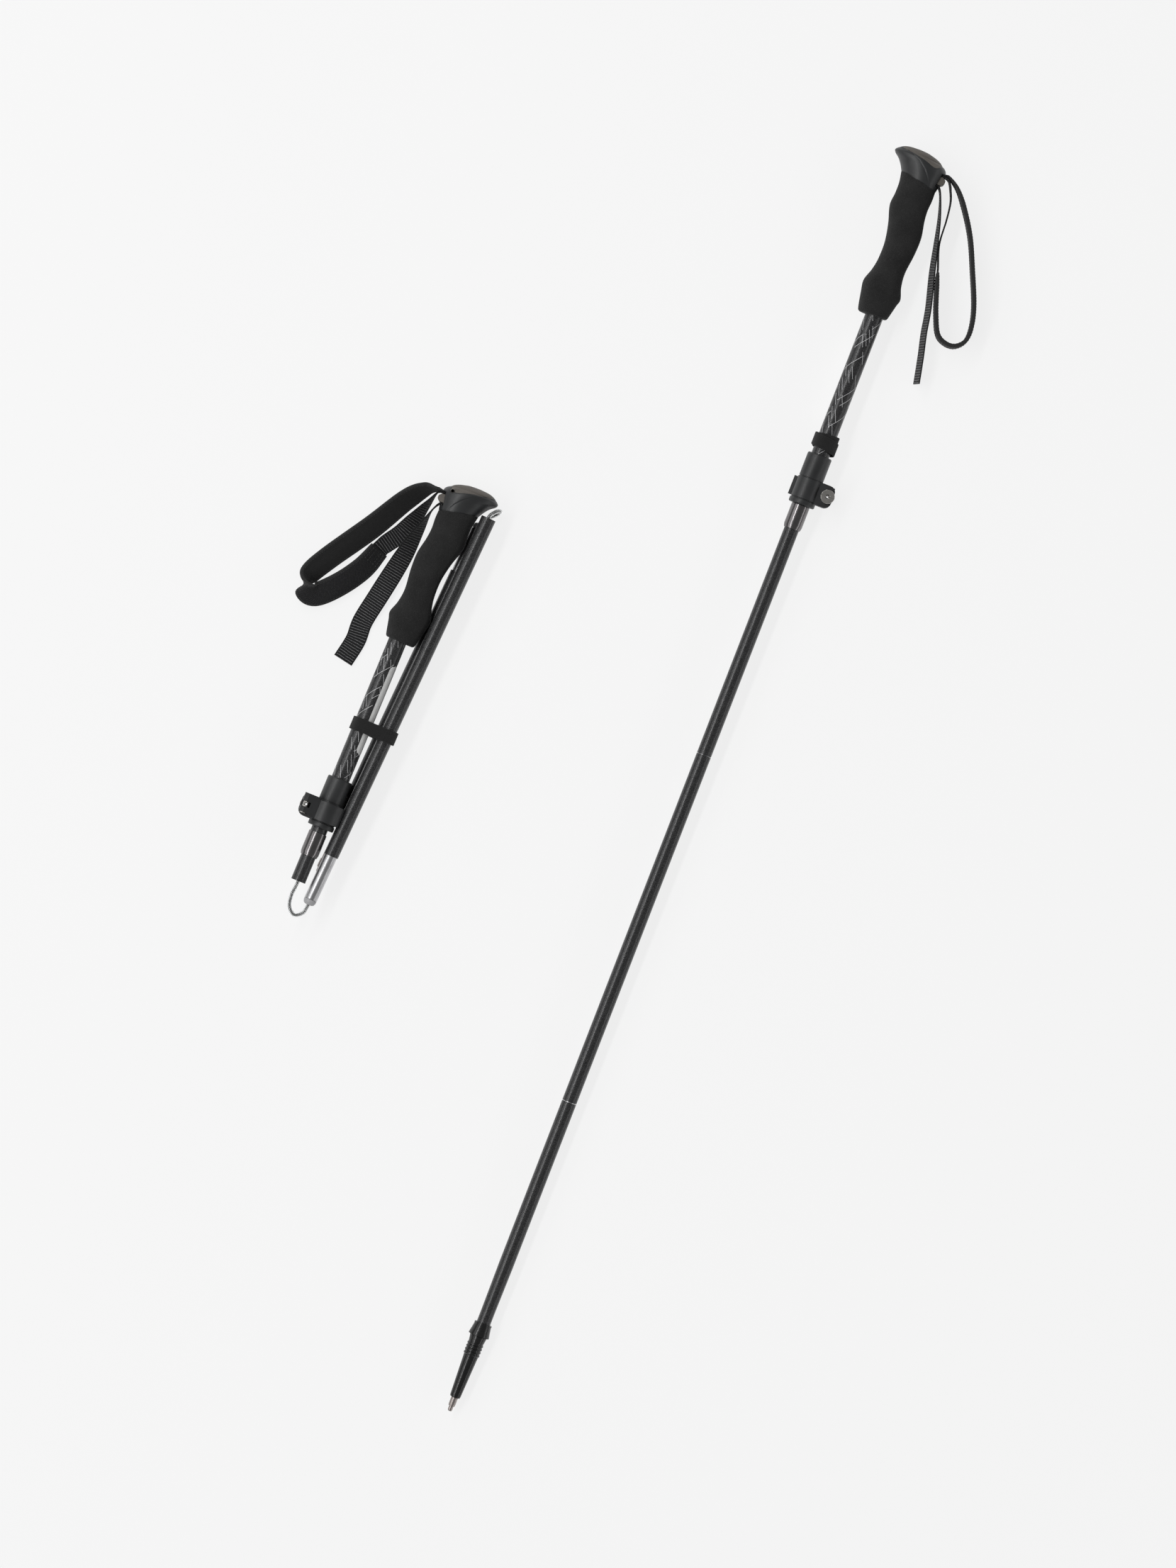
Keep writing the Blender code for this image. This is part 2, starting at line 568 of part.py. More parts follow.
def extended_pole():
    pre = "ext_"
    at = frame_from((0, 0, EXT_HEIGHT), (0, 1, EXT_SLOPE), (1, 0, 0))
    build_grip(pre, at, False)
    build_bundle_ring(pre, at)
    build_lock(pre, at)
    build_slider(pre, at, 0.0, EXT_MOUTH, False)
    build_middle(pre, at @ shift(0, 0, EXT_MOUTH - GAP))
    build_lower(pre, at @ shift(0, 0, EXT_LOWER - 2 * GAP))
    top, bottom = EXT_MOUTH + BUTTON_ABOVE_MOUTH - 34, EXT_LOWER - 250
    rod = ((0, top), (WIRE_R, top), (WIRE_R, bottom), (0, bottom))
    turned(pre + "tension_wire", rod, "wire", at, 16)
    return at


def folded_places():
    """Frames of the folded pole's handle, middle and lower section."""
    along = Vector((sin(FOLD_PLAN), cos(FOLD_PLAN), FOLD_SLOPE)).normalized()
    point = Vector((*FOLD_POINT, FOLD_HEIGHT + FOLD_SLOPE * FOLD_POINT_Z))
    origin = point - along * FOLD_POINT_Z
    at = frame_from(origin, along, Vector((0, 0, 1)).cross(along))

    def beside(z, height, back):
        offset = FOLD_A_OFFSET + FOLD_SPREAD * z - back
        return Vector((-offset, height - (FOLD_HEIGHT + FOLD_SLOPE * z), z))

    a_top = beside(-21.0, FOLD_A_HEIGHT, 0)
    a_low = beside(338.7, FOLD_A_HEIGHT, 0)
    b_top = beside(279.7, FOLD_B_HEIGHT, FOLD_B_BACK)
    b_low = beside(-41.0, FOLD_B_HEIGHT, FOLD_B_BACK)
    middle = frame_from(a_top, a_top - a_low, (1, 0, 0))
    lower = frame_from(b_top, b_top - b_low, (1, 0, 0))
    return at, middle, lower


def folded_hinges(at, middle, lower):
    """World axis, pivot and angle of the two folds."""
    def out(frame, z):
        return at @ frame @ Vector((0, 0, z * MM))

    turn = at.to_3x3()
    down_root = -(turn @ Vector((0, 0, 1)))
    down_a = -(turn @ middle.to_3x3() @ Vector((0, 0, 1)))
    down_b = -(turn @ lower.to_3x3() @ Vector((0, 0, 1)))
    goal_a = at @ Vector((0, 0, (FOLD_MOUTH - INSERT) * MM))
    first = fold_hinge(out(middle, 52), down_a, goal_a, down_root)
    goal_b = out(middle, -MIDDLE_LENGTH - INSERT)
    second = fold_hinge(out(lower, 52), down_b, goal_b, down_a)
    return first, second


def folded_pole():
    pre = "fold_"
    at, middle, lower = folded_places()
    build_grip(pre, at, True)
    build_lock(pre, at)
    build_slider(pre, at, FOLD_SHIFT, FOLD_MOUTH, True)
    build_middle(pre, at @ middle)
    build_lower(pre, at @ lower)

    def on(frame, z):
        return frame @ Vector((0, 0, z * MM)) / MM

    circles = [(0.0, 0.0, TUBE_R)]
    for frame in (middle, lower):
        here = on(frame, 0)
        step = frame.to_3x3() @ Vector((0, 0, 1))
        spot = here + step * ((BAND_Z - here.z) / step.z)
        circles.append((spot.x, spot.y, SHAFT_R))
    build_bundle_band(pre, at, circles, BAND_Z)

    nose_a, nose_b = on(middle, 52), on(lower, 52)
    mouth_a = on(middle, -MIDDLE_LENGTH)
    low_turn = [Vector((0, 0, FOLD_MOUTH - 4)), Vector((0.8, 0, -70)),
                Vector((-1.5, -0.8, -81)), Vector((-8.5, -2.0, -87)),
                nose_a + Vector((2.2, 0.2, -10.0)), on(middle, 55)]
    high_turn = [on(middle, -MIDDLE_LENGTH - 3), mouth_a + Vector((-4.0, -1.8, 8.5)),
                 Vector((-43.5, 1.0, 349.5)), Vector((-42.0, -6.5, 346.0)),
                 nose_b + Vector((-4.0, 0.6, 7.0)), on(lower, 55)]
    points = [Vector((0, 0, 130.0)), Vector((0, 0, FOLD_MOUTH + 4))]
    points += spline(low_turn, 5)
    points += [on(middle, 38), on(middle, -MIDDLE_LENGTH + 3)]
    points += spline(high_turn, 5)
    points += [on(lower, 38), on(lower, -250)]
    wire_along(pre + "tension_wire", points, at)
    hinges = folded_hinges(at, middle, lower)
    for name, part, hinge in (("fold_middle_pivot", "middle", hinges[0]),
                              ("fold_lower_pivot", "lower", hinges[1])):
        empty = bpy.data.objects.new(name, None)
        PARTS.objects.link(empty)
        axis, pivot, _ = hinge
        empty.matrix_world = frame_from(pivot / MM, axis, (0, 1, 0))
        own = [pre + part + "_tube", pre + part + "_spigot", pre + part + "_nose"]
        if part == "lower":
            own += [pre + n for n in ("basket_collar", "tip_body", "tip_holder",
                                      "carbide_tip")]
        for child in own:
            obj = bpy.data.objects[child]
            keep = obj.matrix_world.copy()
            obj.parent = empty
            obj.matrix_parent_inverse = empty.matrix_world.inverted()
            obj.matrix_world = keep
    return at, hinges


def place_on_floor():
    """Shift everything so the middle of the underside of the bounds is the origin."""
    bpy.context.view_layer.update()
    graph = bpy.context.evaluated_depsgraph_get()
    low, high = Vector((9, 9, 9)), Vector((-9, -9, -9))
    for obj in PARTS.objects:
        if obj.type != "MESH":
            continue
        shape = obj.evaluated_get(graph)
        for vert in shape.data.vertices:
            spot = obj.matrix_world @ vert.co
            for i in range(3):
                low[i] = min(low[i], spot[i])
                high[i] = max(high[i], spot[i])
    move = Vector((-(low.x + high.x) / 2, -(low.y + high.y) / 2, -low.z))
    for obj in [*PARTS.objects, *CUTTERS.objects]:
        if obj.parent is None:
            obj.matrix_world = Matrix.Translation(move) @ obj.matrix_world
    return move


def print_layout(frames, hinges, move):
    """Say where the poles and fold axes ended up, in metres, for whoever adds joints."""
    for name, at in frames.items():
        print(name, "lock foot at", tuple(at.translation + move))
    for axis, pivot, angle in hinges:
        print("fold axis", tuple(axis), "through", tuple(pivot + move), "by", angle)


extended_frame = extended_pole()
folded_frame, fold_hinges = folded_pole()
offset = place_on_floor()
print_layout({"straight pole": extended_frame, "folded pole": folded_frame}, fold_hinges,
             offset)
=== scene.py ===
import json
from math import cos, exp, pi, radians, sin

import bmesh
import bpy
import numpy as np
from mathutils import Matrix, Vector


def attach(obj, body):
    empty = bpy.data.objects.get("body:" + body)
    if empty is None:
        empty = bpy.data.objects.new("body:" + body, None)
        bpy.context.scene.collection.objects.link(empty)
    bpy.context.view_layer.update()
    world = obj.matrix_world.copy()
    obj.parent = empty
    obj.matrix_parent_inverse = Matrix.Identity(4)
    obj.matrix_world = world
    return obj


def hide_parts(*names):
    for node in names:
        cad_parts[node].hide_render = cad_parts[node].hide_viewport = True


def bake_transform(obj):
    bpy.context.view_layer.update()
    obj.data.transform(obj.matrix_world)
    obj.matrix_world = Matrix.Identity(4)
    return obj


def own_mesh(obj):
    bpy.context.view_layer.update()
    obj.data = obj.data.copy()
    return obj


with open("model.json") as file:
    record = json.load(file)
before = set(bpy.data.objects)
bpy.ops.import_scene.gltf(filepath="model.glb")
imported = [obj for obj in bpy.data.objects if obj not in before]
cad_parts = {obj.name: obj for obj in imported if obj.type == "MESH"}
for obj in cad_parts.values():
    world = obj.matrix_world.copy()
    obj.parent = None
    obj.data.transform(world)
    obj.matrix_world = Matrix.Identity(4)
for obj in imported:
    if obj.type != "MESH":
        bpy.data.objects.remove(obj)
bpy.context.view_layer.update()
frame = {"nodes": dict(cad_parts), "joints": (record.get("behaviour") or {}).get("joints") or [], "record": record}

bl_info = {
    "name": "Folding Trekking Poles",
    "version": (1, 0, 0),
    "blender": (4, 5, 0),
    "location": "3D View > Sidebar > Poles",
    "description": "Finishes a folded and a straight trekking pole on their packed frame",
    "category": "Object",
}

MM = 0.001
POLES = ("ext_", "fold_")

# Lock in shaft metres: its height, and the lever's axis beside the shaft.
LOCK_HEIGHT = 0.016
LEVER_AXIS = (0.021, 0.012)

# Straps, in metres for the weave and millimetres for the rest.
RIB_PITCH, WARP_PITCH = 0.0026, 0.0009
# Band across the webbing, in metres from its middle, where the painted rib highlight fades out.
WEB_EDGE = (0.0084, 0.0092)
BINDING_EDGE = 0.0104
PAD_HALF_WIDTH, WEB_HALF_WIDTH, WEB_HALF_THICK = 12.75, 10.0, 0.6
STRAP_LIFT = 1.7
HEAD_HEIGHT = 0.345
BAND_HEIGHT = 106.5

# Sleeve of the tube inside the grip, in shaft millimetres.
TUBE_BORE, COLLAR_BORE, COLLAR_FOOT = 9.35, 11.3, 261.6
PIN_BORE, PIN_BLIND_END = 2.25, -13.25

# Label on the upper tube: low end, high end, half width, radii of its two faces.
LABEL_LOW, LABEL_HIGH, LABEL_HALF = 79.0, 172.0, 6.0
LABEL_OUTSIDE, LABEL_INSIDE, LABEL_TURN = 9.13, 9.02, radians(153)

ROPE_RADIUS, SLEEVE_RADIUS, SLEEVE_BORE = 1.15, 1.95, 0.72
NUT_TEETH, NUT_RIM, TOOTH_DEPTH = 96, 6.6, 0.965

# Grip outlines in shaft millimetres: front point, back point, half width.
FOAM_ROWS = (
    ((-15.6, 195.3), (11.7, 196.0), 13.2), ((-17.6, 198.0), (13.2, 198.6), 14.2),
    ((-20.7, 213.0), (16.3, 212.0), 15.3), ((-22.4, 225.0), (18.0, 219.5), 15.6),
    ((-18.7, 237.0), (14.4, 231.0), 15.2), ((-16.6, 249.0), (12.9, 245.0), 14.8),
    ((-16.6, 266.0), (15.0, 265.0), 15.0), ((-19.9, 284.0), (15.3, 282.0), 15.4),
    ((-25.0, 301.5), (12.4, 298.0), 16.0), ((-24.3, 314.0), (11.4, 309.0), 16.4),
    ((-24.4, 325.0), (12.0, 319.0), 16.8), ((-26.3, 335.8), (11.8, 327.6), 17.0),
)
HEAD_ROWS = (
    ((-26.4, 336.4), (12.0, 328.2), 17.0), ((-29.5, 341.8), (13.6, 337.0), 18.6),
    ((-33.5, 347.0), (14.8, 343.5), 19.4), ((-38.3, 351.0), (15.0, 348.5), 19.5),
    ((-39.5, 353.8), (13.0, 351.8), 18.6), ((-37.4, 356.4), (9.5, 354.0), 16.8),
)
TOP_ROWS = (
    ((-36.4, 356.9), (8.9, 354.5), 16.2), ((-33.5, 359.0), (6.6, 356.4), 14.4),
    ((-28.0, 360.8), (2.0, 358.5), 11.0), ((-20.0, 361.5), (-5.5, 360.6), 5.5),
)
PIN_AT = (5.8, 349.3)
POCKET = (-6.0, 333.0, 346.2, 11.6)

# Lines pressed into the sides of the head, as (x, z): front panel edge, rubber edge.
PANEL_LINE = ((3.6, 329.0), (3.0, 330.9), (-0.6, 337.5), (-6.2, 344.2), (-14.6, 350.8),
              (-24.5, 355.4), (-40.0, 357.5))
RUBBER_LINE = ((-60.0, 359.0), (-36.0, 357.3), (-24.5, 355.6), (-14.0, 353.6), (-7.0, 351.7),
               (-1.0, 349.5), (3.1, 348.6), (6.5, 350.2), (9.0, 353.4), (30.0, 370.0))
RUBBER_FRONT = -32.5

# Wrist strap routes in each shaft's own x and z, millimetres.
PAD_ROUTE = {
    "ext_": ((13.5, 346.5), (19.5, 346.4), (31.7, 338.5), (45.3, 322.0), (59.8, 299.2), (72.9, 271.2),
             (85.8, 241.7), (91.4, 221.3), (91.3, 206.2), (84.2, 197.4), (74.3, 195.9),
             (63.8, 201.5), (55.1, 219.2), (48.0, 239.0), (42.2, 257.0)),
    "fold_": ((13.5, 346.5), (20.2, 347.2), (30.5, 343.5), (45.0, 325.5), (65.9, 288.2), (93.1, 245.0),
              (104.5, 222.5), (102.6, 210.5), (91.6, 207.6), (74.0, 225.0),
              (58.9, 248.1), (50.6, 271.0)),
}
WEB_ROUTE = {
    "ext_": ((40.9, 261.5), (33.8, 283.1), (31.8, 307.9), (29.2, 325.2), (24.5, 336.5),
             (20.6, 342.6)),
    "fold_": ((46.6, 279.0), (37.1, 293.8), (31.0, 309.4), (25.0, 328.0), (20.6, 340.6)),
}
TAIL_ROUTE = {
    "ext_": ((18.3, 325.0), (25.0, 305.4), (30.9, 282.2), (37.6, 254.8), (46.4, 222.3),
             (51.0, 198.3), (56.4, 176.1), (62.1, 149.8)),
    "fold_": ((18.6, 322.5), (22.6, 300.7), (27.6, 268.9), (34.7, 228.9), (39.5, 201.1),
              (38.9, 181.3), (42.8, 158.8)),
}
SLOT_ROUTE = ((17.0, 344.95), (8.0, 344.95), (1.0, 344.95), (-3.2, 342.7), (-3.9, 339.6),
              (-3.2, 336.5), (1.0, 334.25), (8.0, 334.25), (13.5, 333.6))


# ---------------------------------------------------------------- frames

def joint(name):
    return next(j for j in frame["joints"] if j["name"] == name)


def axes_to_frame(origin, along, sideways):
    z = Vector(along).normalized()
    x = Vector(sideways)
    x = (x - z * x.dot(z)).normalized()
    rows = Matrix((x, z.cross(x), z)).transposed().to_4x4()
    rows.translation = origin
    return rows


def pole_frame(pre):
    """Frame of a pole's handle: z up the shaft from the lock's lower end, y to the lever."""
    along = -Vector(joint(pre + "length_slide")["axis"])
    lever_side = -Vector(joint(pre + "dial_turn")["axis"])
    back = lever_side.cross(along).normalized()
    pivot = Vector(joint(pre + "lever_hinge")["pos_m"])
    origin = pivot - back * LEVER_AXIS[0] - lever_side * LEVER_AXIS[1] - along * LOCK_HEIGHT
    return axes_to_frame(origin, along, back)


def node_points(node):
    verts = frame["nodes"][node].data.vertices
    flat = np.empty(len(verts) * 3)
    verts.foreach_get("co", flat)
    return flat.reshape(-1, 3)


def section_frame(pre, part):
    """Frame of a lower section: z up its own axis from the top of its tube."""
    points = node_points(pre + part + "_tube")
    low, high = points.min(0), points.max(0)
    centre = (low + high) / 2
    along = Vector(np.linalg.svd(points - points.mean(0), full_matrices=False)[2][0])
    spigot = Vector(node_points(pre + part + "_nose").mean(0))
    if along.dot(spigot - Vector(centre)) < 0:
        along = -along
    middle = Vector(points.mean(0))
    reach = max(along.dot(Vector(p) - middle) for p in points)
    return axes_to_frame(middle + along * reach, along, FRAMES[pre].to_3x3().col[0])


FRAMES = {pre: pole_frame(pre) for pre in POLES}
MIDDLE = {pre: section_frame(pre, "middle") for pre in POLES}
LOWER = {pre: section_frame(pre, "lower") for pre in POLES}


def body_name(pre, part):
    """Body that carries a piece of one pole."""
    for body, members in frame["record"]["behaviour"]["bodies"].items():
        if pre + part in members:
            return body
    raise RuntimeError(f"no body holds {pre + part}")


# ---------------------------------------------------------------- node helpers

class Shader:
    """A material being built: make nodes, link them, end on one Principled shader."""

    def __init__(self, name, base, roughness, metallic=0.0, **fixed):
        self.mat = bpy.data.materials.new(name)
        self.mat.use_nodes = True
        self.tree = self.mat.node_tree
        self.out = self.tree.nodes["Principled BSDF"]
        self.set(self.out, {"Base Color": (*base, 1.0), "Roughness": roughness,
                            "Metallic": metallic, **fixed})

    def set(self, node, values):
        for key, value in values.items():
            socket = node.inputs[key]
            if isinstance(value, bpy.types.NodeSocket):
                self.tree.links.new(value, socket)
            else:
                socket.default_value = value

    def add(self, kind, output=0, values=None, **settings):
        node = self.tree.nodes.new(kind)
        for key, value in settings.items():
            setattr(node, key, value)
        self.set(node, values or {})
        return node.outputs[output]

    def maths(self, operation, a, b=0.0):
        return self.add("ShaderNodeMath", operation=operation, values={0: a, 1: b})

    def coords(self, kind="Object", **mapping):
        source = self.add("ShaderNodeTexCoord", kind)
        return self.add("ShaderNodeMapping", values={"Vector": source, **mapping})

    def parts(self, vector):
        """The x and y of a vector."""
        split = self.tree.nodes.new("ShaderNodeSeparateXYZ")
        self.set(split, {"Vector": vector})
        return split.outputs[0], split.outputs[1]

    def noise(self, vector, scale, detail=3.0, rough=0.5):
        return self.add("ShaderNodeTexNoise", "Fac", values={
            "Vector": vector, "Scale": scale, "Detail": detail, "Roughness": rough})

    def ramp(self, value, low, high, bottom=0.0, top=1.0):
        return self.add("ShaderNodeMapRange", values={
            "Value": value, "From Min": low, "From Max": high,
            "To Min": bottom, "To Max": top})

    def blend(self, share, a, b):
        node = self.tree.nodes.new("ShaderNodeMix")
        node.data_type = "RGBA"
        inputs = [s for s in node.inputs if s.type == "RGBA"]
        for socket, value in ((node.inputs[0], share), (inputs[0], a), (inputs[1], b)):
            if isinstance(value, bpy.types.NodeSocket):
                self.tree.links.new(value, socket)
            else:
                socket.default_value = value if socket is node.inputs[0] else (*value, 1)
        return next(s for s in node.outputs if s.type == "RGBA")

    def colour(self, value):
        self.set(self.out, {"Base Color": value})

    def rough(self, value):
        self.set(self.out, {"Roughness": value})

    def bump(self, height, strength, distance):
        self.set(self.out, {"Normal": self.add("ShaderNodeBump", "Normal", values={
            "Height": height, "Strength": strength, "Distance": distance})})


def moulded(name, base, roughness, grain, strength, vary=0.25):
    """Moulded plastic: fine texture, slight cloudiness and rubbed sheen."""
    s = Shader(name, base, roughness)
    where = s.coords()
    fine = s.noise(where, grain, 4.0, 0.6)
    cloud = s.noise(where, 45.0, 3.0)
    light = tuple(min(1.0, c * (1 + vary)) for c in base)
    dark = tuple(c * (1 - vary) for c in base)
    s.colour(s.blend(s.ramp(cloud, 0.3, 0.7), dark, light))
    s.rough(s.ramp(fine, 0.3, 0.7, roughness - 0.07, roughness + 0.07))
    s.bump(fine, strength, 0.0002)
    return s.mat


def foam_material():
    s = Shader("foam_closed_cell", (0.02, 0.02, 0.021), 0.95, 0.0,
               **{"Sheen Weight": 0.08, "Sheen Roughness": 0.5, "Specular IOR Level": 0.3})
    where = s.coords()
    cells = s.add("ShaderNodeTexVoronoi", "Distance",
                  values={"Vector": where, "Scale": 1500.0})
    fine = s.noise(where, 2400.0, 4.0, 0.7)
    broad = s.noise(where, 60.0, 3.0)
    specks = s.ramp(fine, 0.56, 0.68)
    base = s.blend(s.ramp(broad, 0.3, 0.7), (0.013, 0.013, 0.013), (0.021, 0.021, 0.021))
    s.colour(s.blend(specks, base, (0.085, 0.085, 0.085)))
    s.bump(s.maths("ADD", cells, fine), 0.55, 0.0004)
    return s.mat


def lacquer(name, flakes):
    """Black lacquered tube whose flakes glitter inside the highlight."""
    s = Shader(name, (0.012, 0.012, 0.013), 0.3, 0.25, **{"Specular IOR Level": 0.6})
    where = s.coords()
    grain = s.noise(where, 2100.0, 2.0, 0.7)
    broad = s.noise(where, 25.0, 2.0)
    glitter = s.ramp(grain, 0.47, 0.68)
    s.colour(s.blend(glitter, (0.014, 0.014, 0.015), (flakes, flakes, flakes * 1.02)))
    s.rough(s.maths("ADD", s.ramp(grain, 0.3, 0.7, 0.20, 0.36),
                    s.ramp(broad, 0.3, 0.7, -0.02, 0.02)))
    s.bump(grain, 0.30, 0.00016)
    return s


def dashes(s, turn, pitch, length, width, share):
    """Mask of short parallel strokes over a surface measured in metres."""
    u, v = s.parts(s.coords("UV", Rotation=(0, 0, turn)))
    across = s.maths("DIVIDE", u, pitch)
    row = s.maths("FLOOR", across)
    line = s.maths("LESS_THAN", s.maths("FRACT", across), width)
    slip = s.add("ShaderNodeTexWhiteNoise", "Value", noise_dimensions="1D",
                 values={"W": row})
    run = s.maths("ADD", s.maths("DIVIDE", v, length),
                  s.maths("MULTIPLY", slip, 7.0))
    cell = s.maths("ADD", s.maths("FLOOR", run), s.maths("MULTIPLY", row, 17.0))
    chance = s.add("ShaderNodeTexWhiteNoise", "Value", noise_dimensions="1D",
                   values={"W": cell})
    drawn = s.maths("LESS_THAN", chance, share)
    part = s.maths("LESS_THAN", s.maths("FRACT", run), 0.72)
    return s.maths("MULTIPLY", line, s.maths("MULTIPLY", drawn, part))


def printed_lacquer():
    """Lacquer of the upper tube with its pale crossing strokes."""
    s = lacquer("tube_lacquer_printed", 0.11)
    one = dashes(s, radians(22), 0.0034, 0.017, 0.085, 0.46)
    two = dashes(s, radians(-40), 0.0062, 0.034, 0.055, 0.42)
    marks = s.maths("MAXIMUM", one, two)
    plain = s.out.inputs["Base Color"].links[0].from_socket
    s.colour(s.blend(marks, plain, (0.75, 0.75, 0.76)))
    s.set(s.out, {"Metallic": s.ramp(marks, 0.0, 1.0, 0.25, 0.0)})
    return s.mat


def metal(name, base, roughness, banded=0.0):
    """Bare or plated metal with faint draw marks along the piece's own v."""
    s = Shader(name, base, roughness, 1.0)
    marks = s.noise(s.coords("UV", Scale=(900.0, 30.0, 1.0)), 1.0)
    smudge = s.noise(s.coords(), 120.0, 4.0)
    dark = tuple(c * 0.82 for c in base)
    s.colour(s.blend(s.ramp(smudge, 0.35, 0.7), base, dark))
    s.rough(s.maths("ADD", s.ramp(marks, 0.3, 0.7, roughness - 0.03, roughness + 0.04),
                    s.ramp(smudge, 0.3, 0.7, 0.0, banded)))
    return s.mat


def ribbed_webbing():
    """Grosgrain: cross ribs along v, with a pale painted highlight along the crest of each rib."""
    s = Shader("webbing_grosgrain", (0.016, 0.016, 0.017), 0.85, 0.0,
               **{"Sheen Weight": 0.06, "Sheen Roughness": 0.4, "Specular IOR Level": 0.3})
    u, v = s.parts(s.add("ShaderNodeTexCoord", "UV"))
    wobble = s.noise(s.coords("UV", Scale=(420.0, 60.0, 1.0)), 1.0, 2.0)
    along = s.maths("ADD", s.maths("DIVIDE", v, RIB_PITCH),
                    s.maths("MULTIPLY", wobble, 0.35))
    rib = s.maths("SINE", s.maths("MULTIPLY", along, 2 * pi))
    warp = s.maths("SINE", s.maths("MULTIPLY", u, 2 * pi / WARP_PITCH))
    # Painted highlight: pale colour on the rib crests, broken up by noise and fading out towards the webbing's
    # edges.
    thread = s.ramp(rib, 0.62, 0.94)
    broken_highlight = s.ramp(s.noise(s.coords("UV", Scale=(1900.0, 700.0, 1.0)), 1.0), 0.30, 0.56)
    edge = s.ramp(s.maths("ABSOLUTE", u), *WEB_EDGE, 1.0, 0.0)
    shown = s.maths("MULTIPLY", s.maths("MULTIPLY", thread, broken_highlight), edge)
    s.colour(s.blend(shown, (0.014, 0.014, 0.015), (0.24, 0.24, 0.245)))
    height = s.maths("ADD", rib, s.maths("MULTIPLY", warp, 0.25))
    s.bump(height, 0.8, 0.0003)
    return s.mat


def pad_weave():
    """Outer face of the hand loop: fine slanting weave."""
    s = Shader("pad_weave", (0.015, 0.015, 0.016), 0.88, 0.0,
               **{"Sheen Weight": 0.08, "Sheen Roughness": 0.45, "Specular IOR Level": 0.3})
    one = s.add("ShaderNodeTexWave", "Fac", wave_type="BANDS", values={
        "Vector": s.coords("UV", Rotation=(0, 0, radians(62))),
        "Scale": 240.0, "Distortion": 1.2, "Detail": 1.0})
    two = s.add("ShaderNodeTexWave", "Fac", wave_type="BANDS", values={
        "Vector": s.coords("UV", Rotation=(0, 0, radians(-20))),
        "Scale": 420.0, "Distortion": 0.8})
    specks = s.noise(s.coords(), 2200.0, 3.0, 0.7)
    weave = s.maths("MULTIPLY", one, two)
    s.colour(s.blend(s.maths("MULTIPLY", s.ramp(weave, 0.45, 0.9), s.ramp(specks, 0.4, 0.7)),
                     (0.012, 0.012, 0.013), (0.15, 0.15, 0.152)))
    s.bump(weave, 0.7, 0.00035)
    return s.mat


def fleece(name, base, scale, strength):
    """Short brushed pile."""
    s = Shader(name, base, 1.0, 0.0, **{"Sheen Weight": 0.10, "Sheen Roughness": 0.6,
                                        "Specular IOR Level": 0.2})
    where = s.coords()
    pile = s.noise(where, scale, 5.0, 0.75)
    broad = s.noise(where, 110.0, 2.0)
    light = tuple(min(1.0, c * 2.6) for c in base)
    s.colour(s.blend(s.ramp(pile, 0.45, 0.75), base, light))
    s.bump(s.maths("ADD", pile, s.maths("MULTIPLY", broad, 0.6)), strength, 0.0006)
    return s.mat


def label_material():
    s = Shader("label_white", (0.78, 0.78, 0.77), 0.32, 0.0, **{"Coat Weight": 0.2})
    soil = s.noise(s.coords(), 300.0, 4.0)
    s.colour(s.blend(s.ramp(soil, 0.4, 0.75), (0.80, 0.80, 0.79), (0.70, 0.70, 0.69)))
    s.bump(soil, 0.05, 0.0001)
    return s.mat


def sleeve_material():
    """Clear plastic sleeve over the wire."""
    s = Shader("wire_sleeve_clear", (0.86, 0.87, 0.87), 0.08, 0.0,
               **{"Transmission Weight": 0.92, "IOR": 1.42})
    cloud = s.noise(s.coords(), 500.0, 2.0)
    s.rough(s.ramp(cloud, 0.3, 0.7, 0.06, 0.18))
    return s.mat


def rope_material():
    """Twisted steel strands, told by their own u and v, with painted shade in the grooves between them and a
    painted highlight on their crests.
    """
    s = Shader("wire_strands", (0.46, 0.45, 0.44), 0.35, 1.0)
    u, v = s.parts(s.add("ShaderNodeTexCoord", "UV"))
    lay = s.maths("ADD", s.maths("DIVIDE", u, 0.0012), s.maths("DIVIDE", v, 0.0030))
    strand = s.maths("SINE", s.maths("MULTIPLY", lay, 2 * pi))
    # Painted shade and highlight: dark in the grooves between strands, light on each strand's crest.
    s.colour(s.blend(s.ramp(strand, -0.6, 0.6), (0.13, 0.13, 0.13), (0.62, 0.61, 0.60)))
    s.bump(strand, 0.9, 0.0004)
    return s.mat


MATERIALS = {}


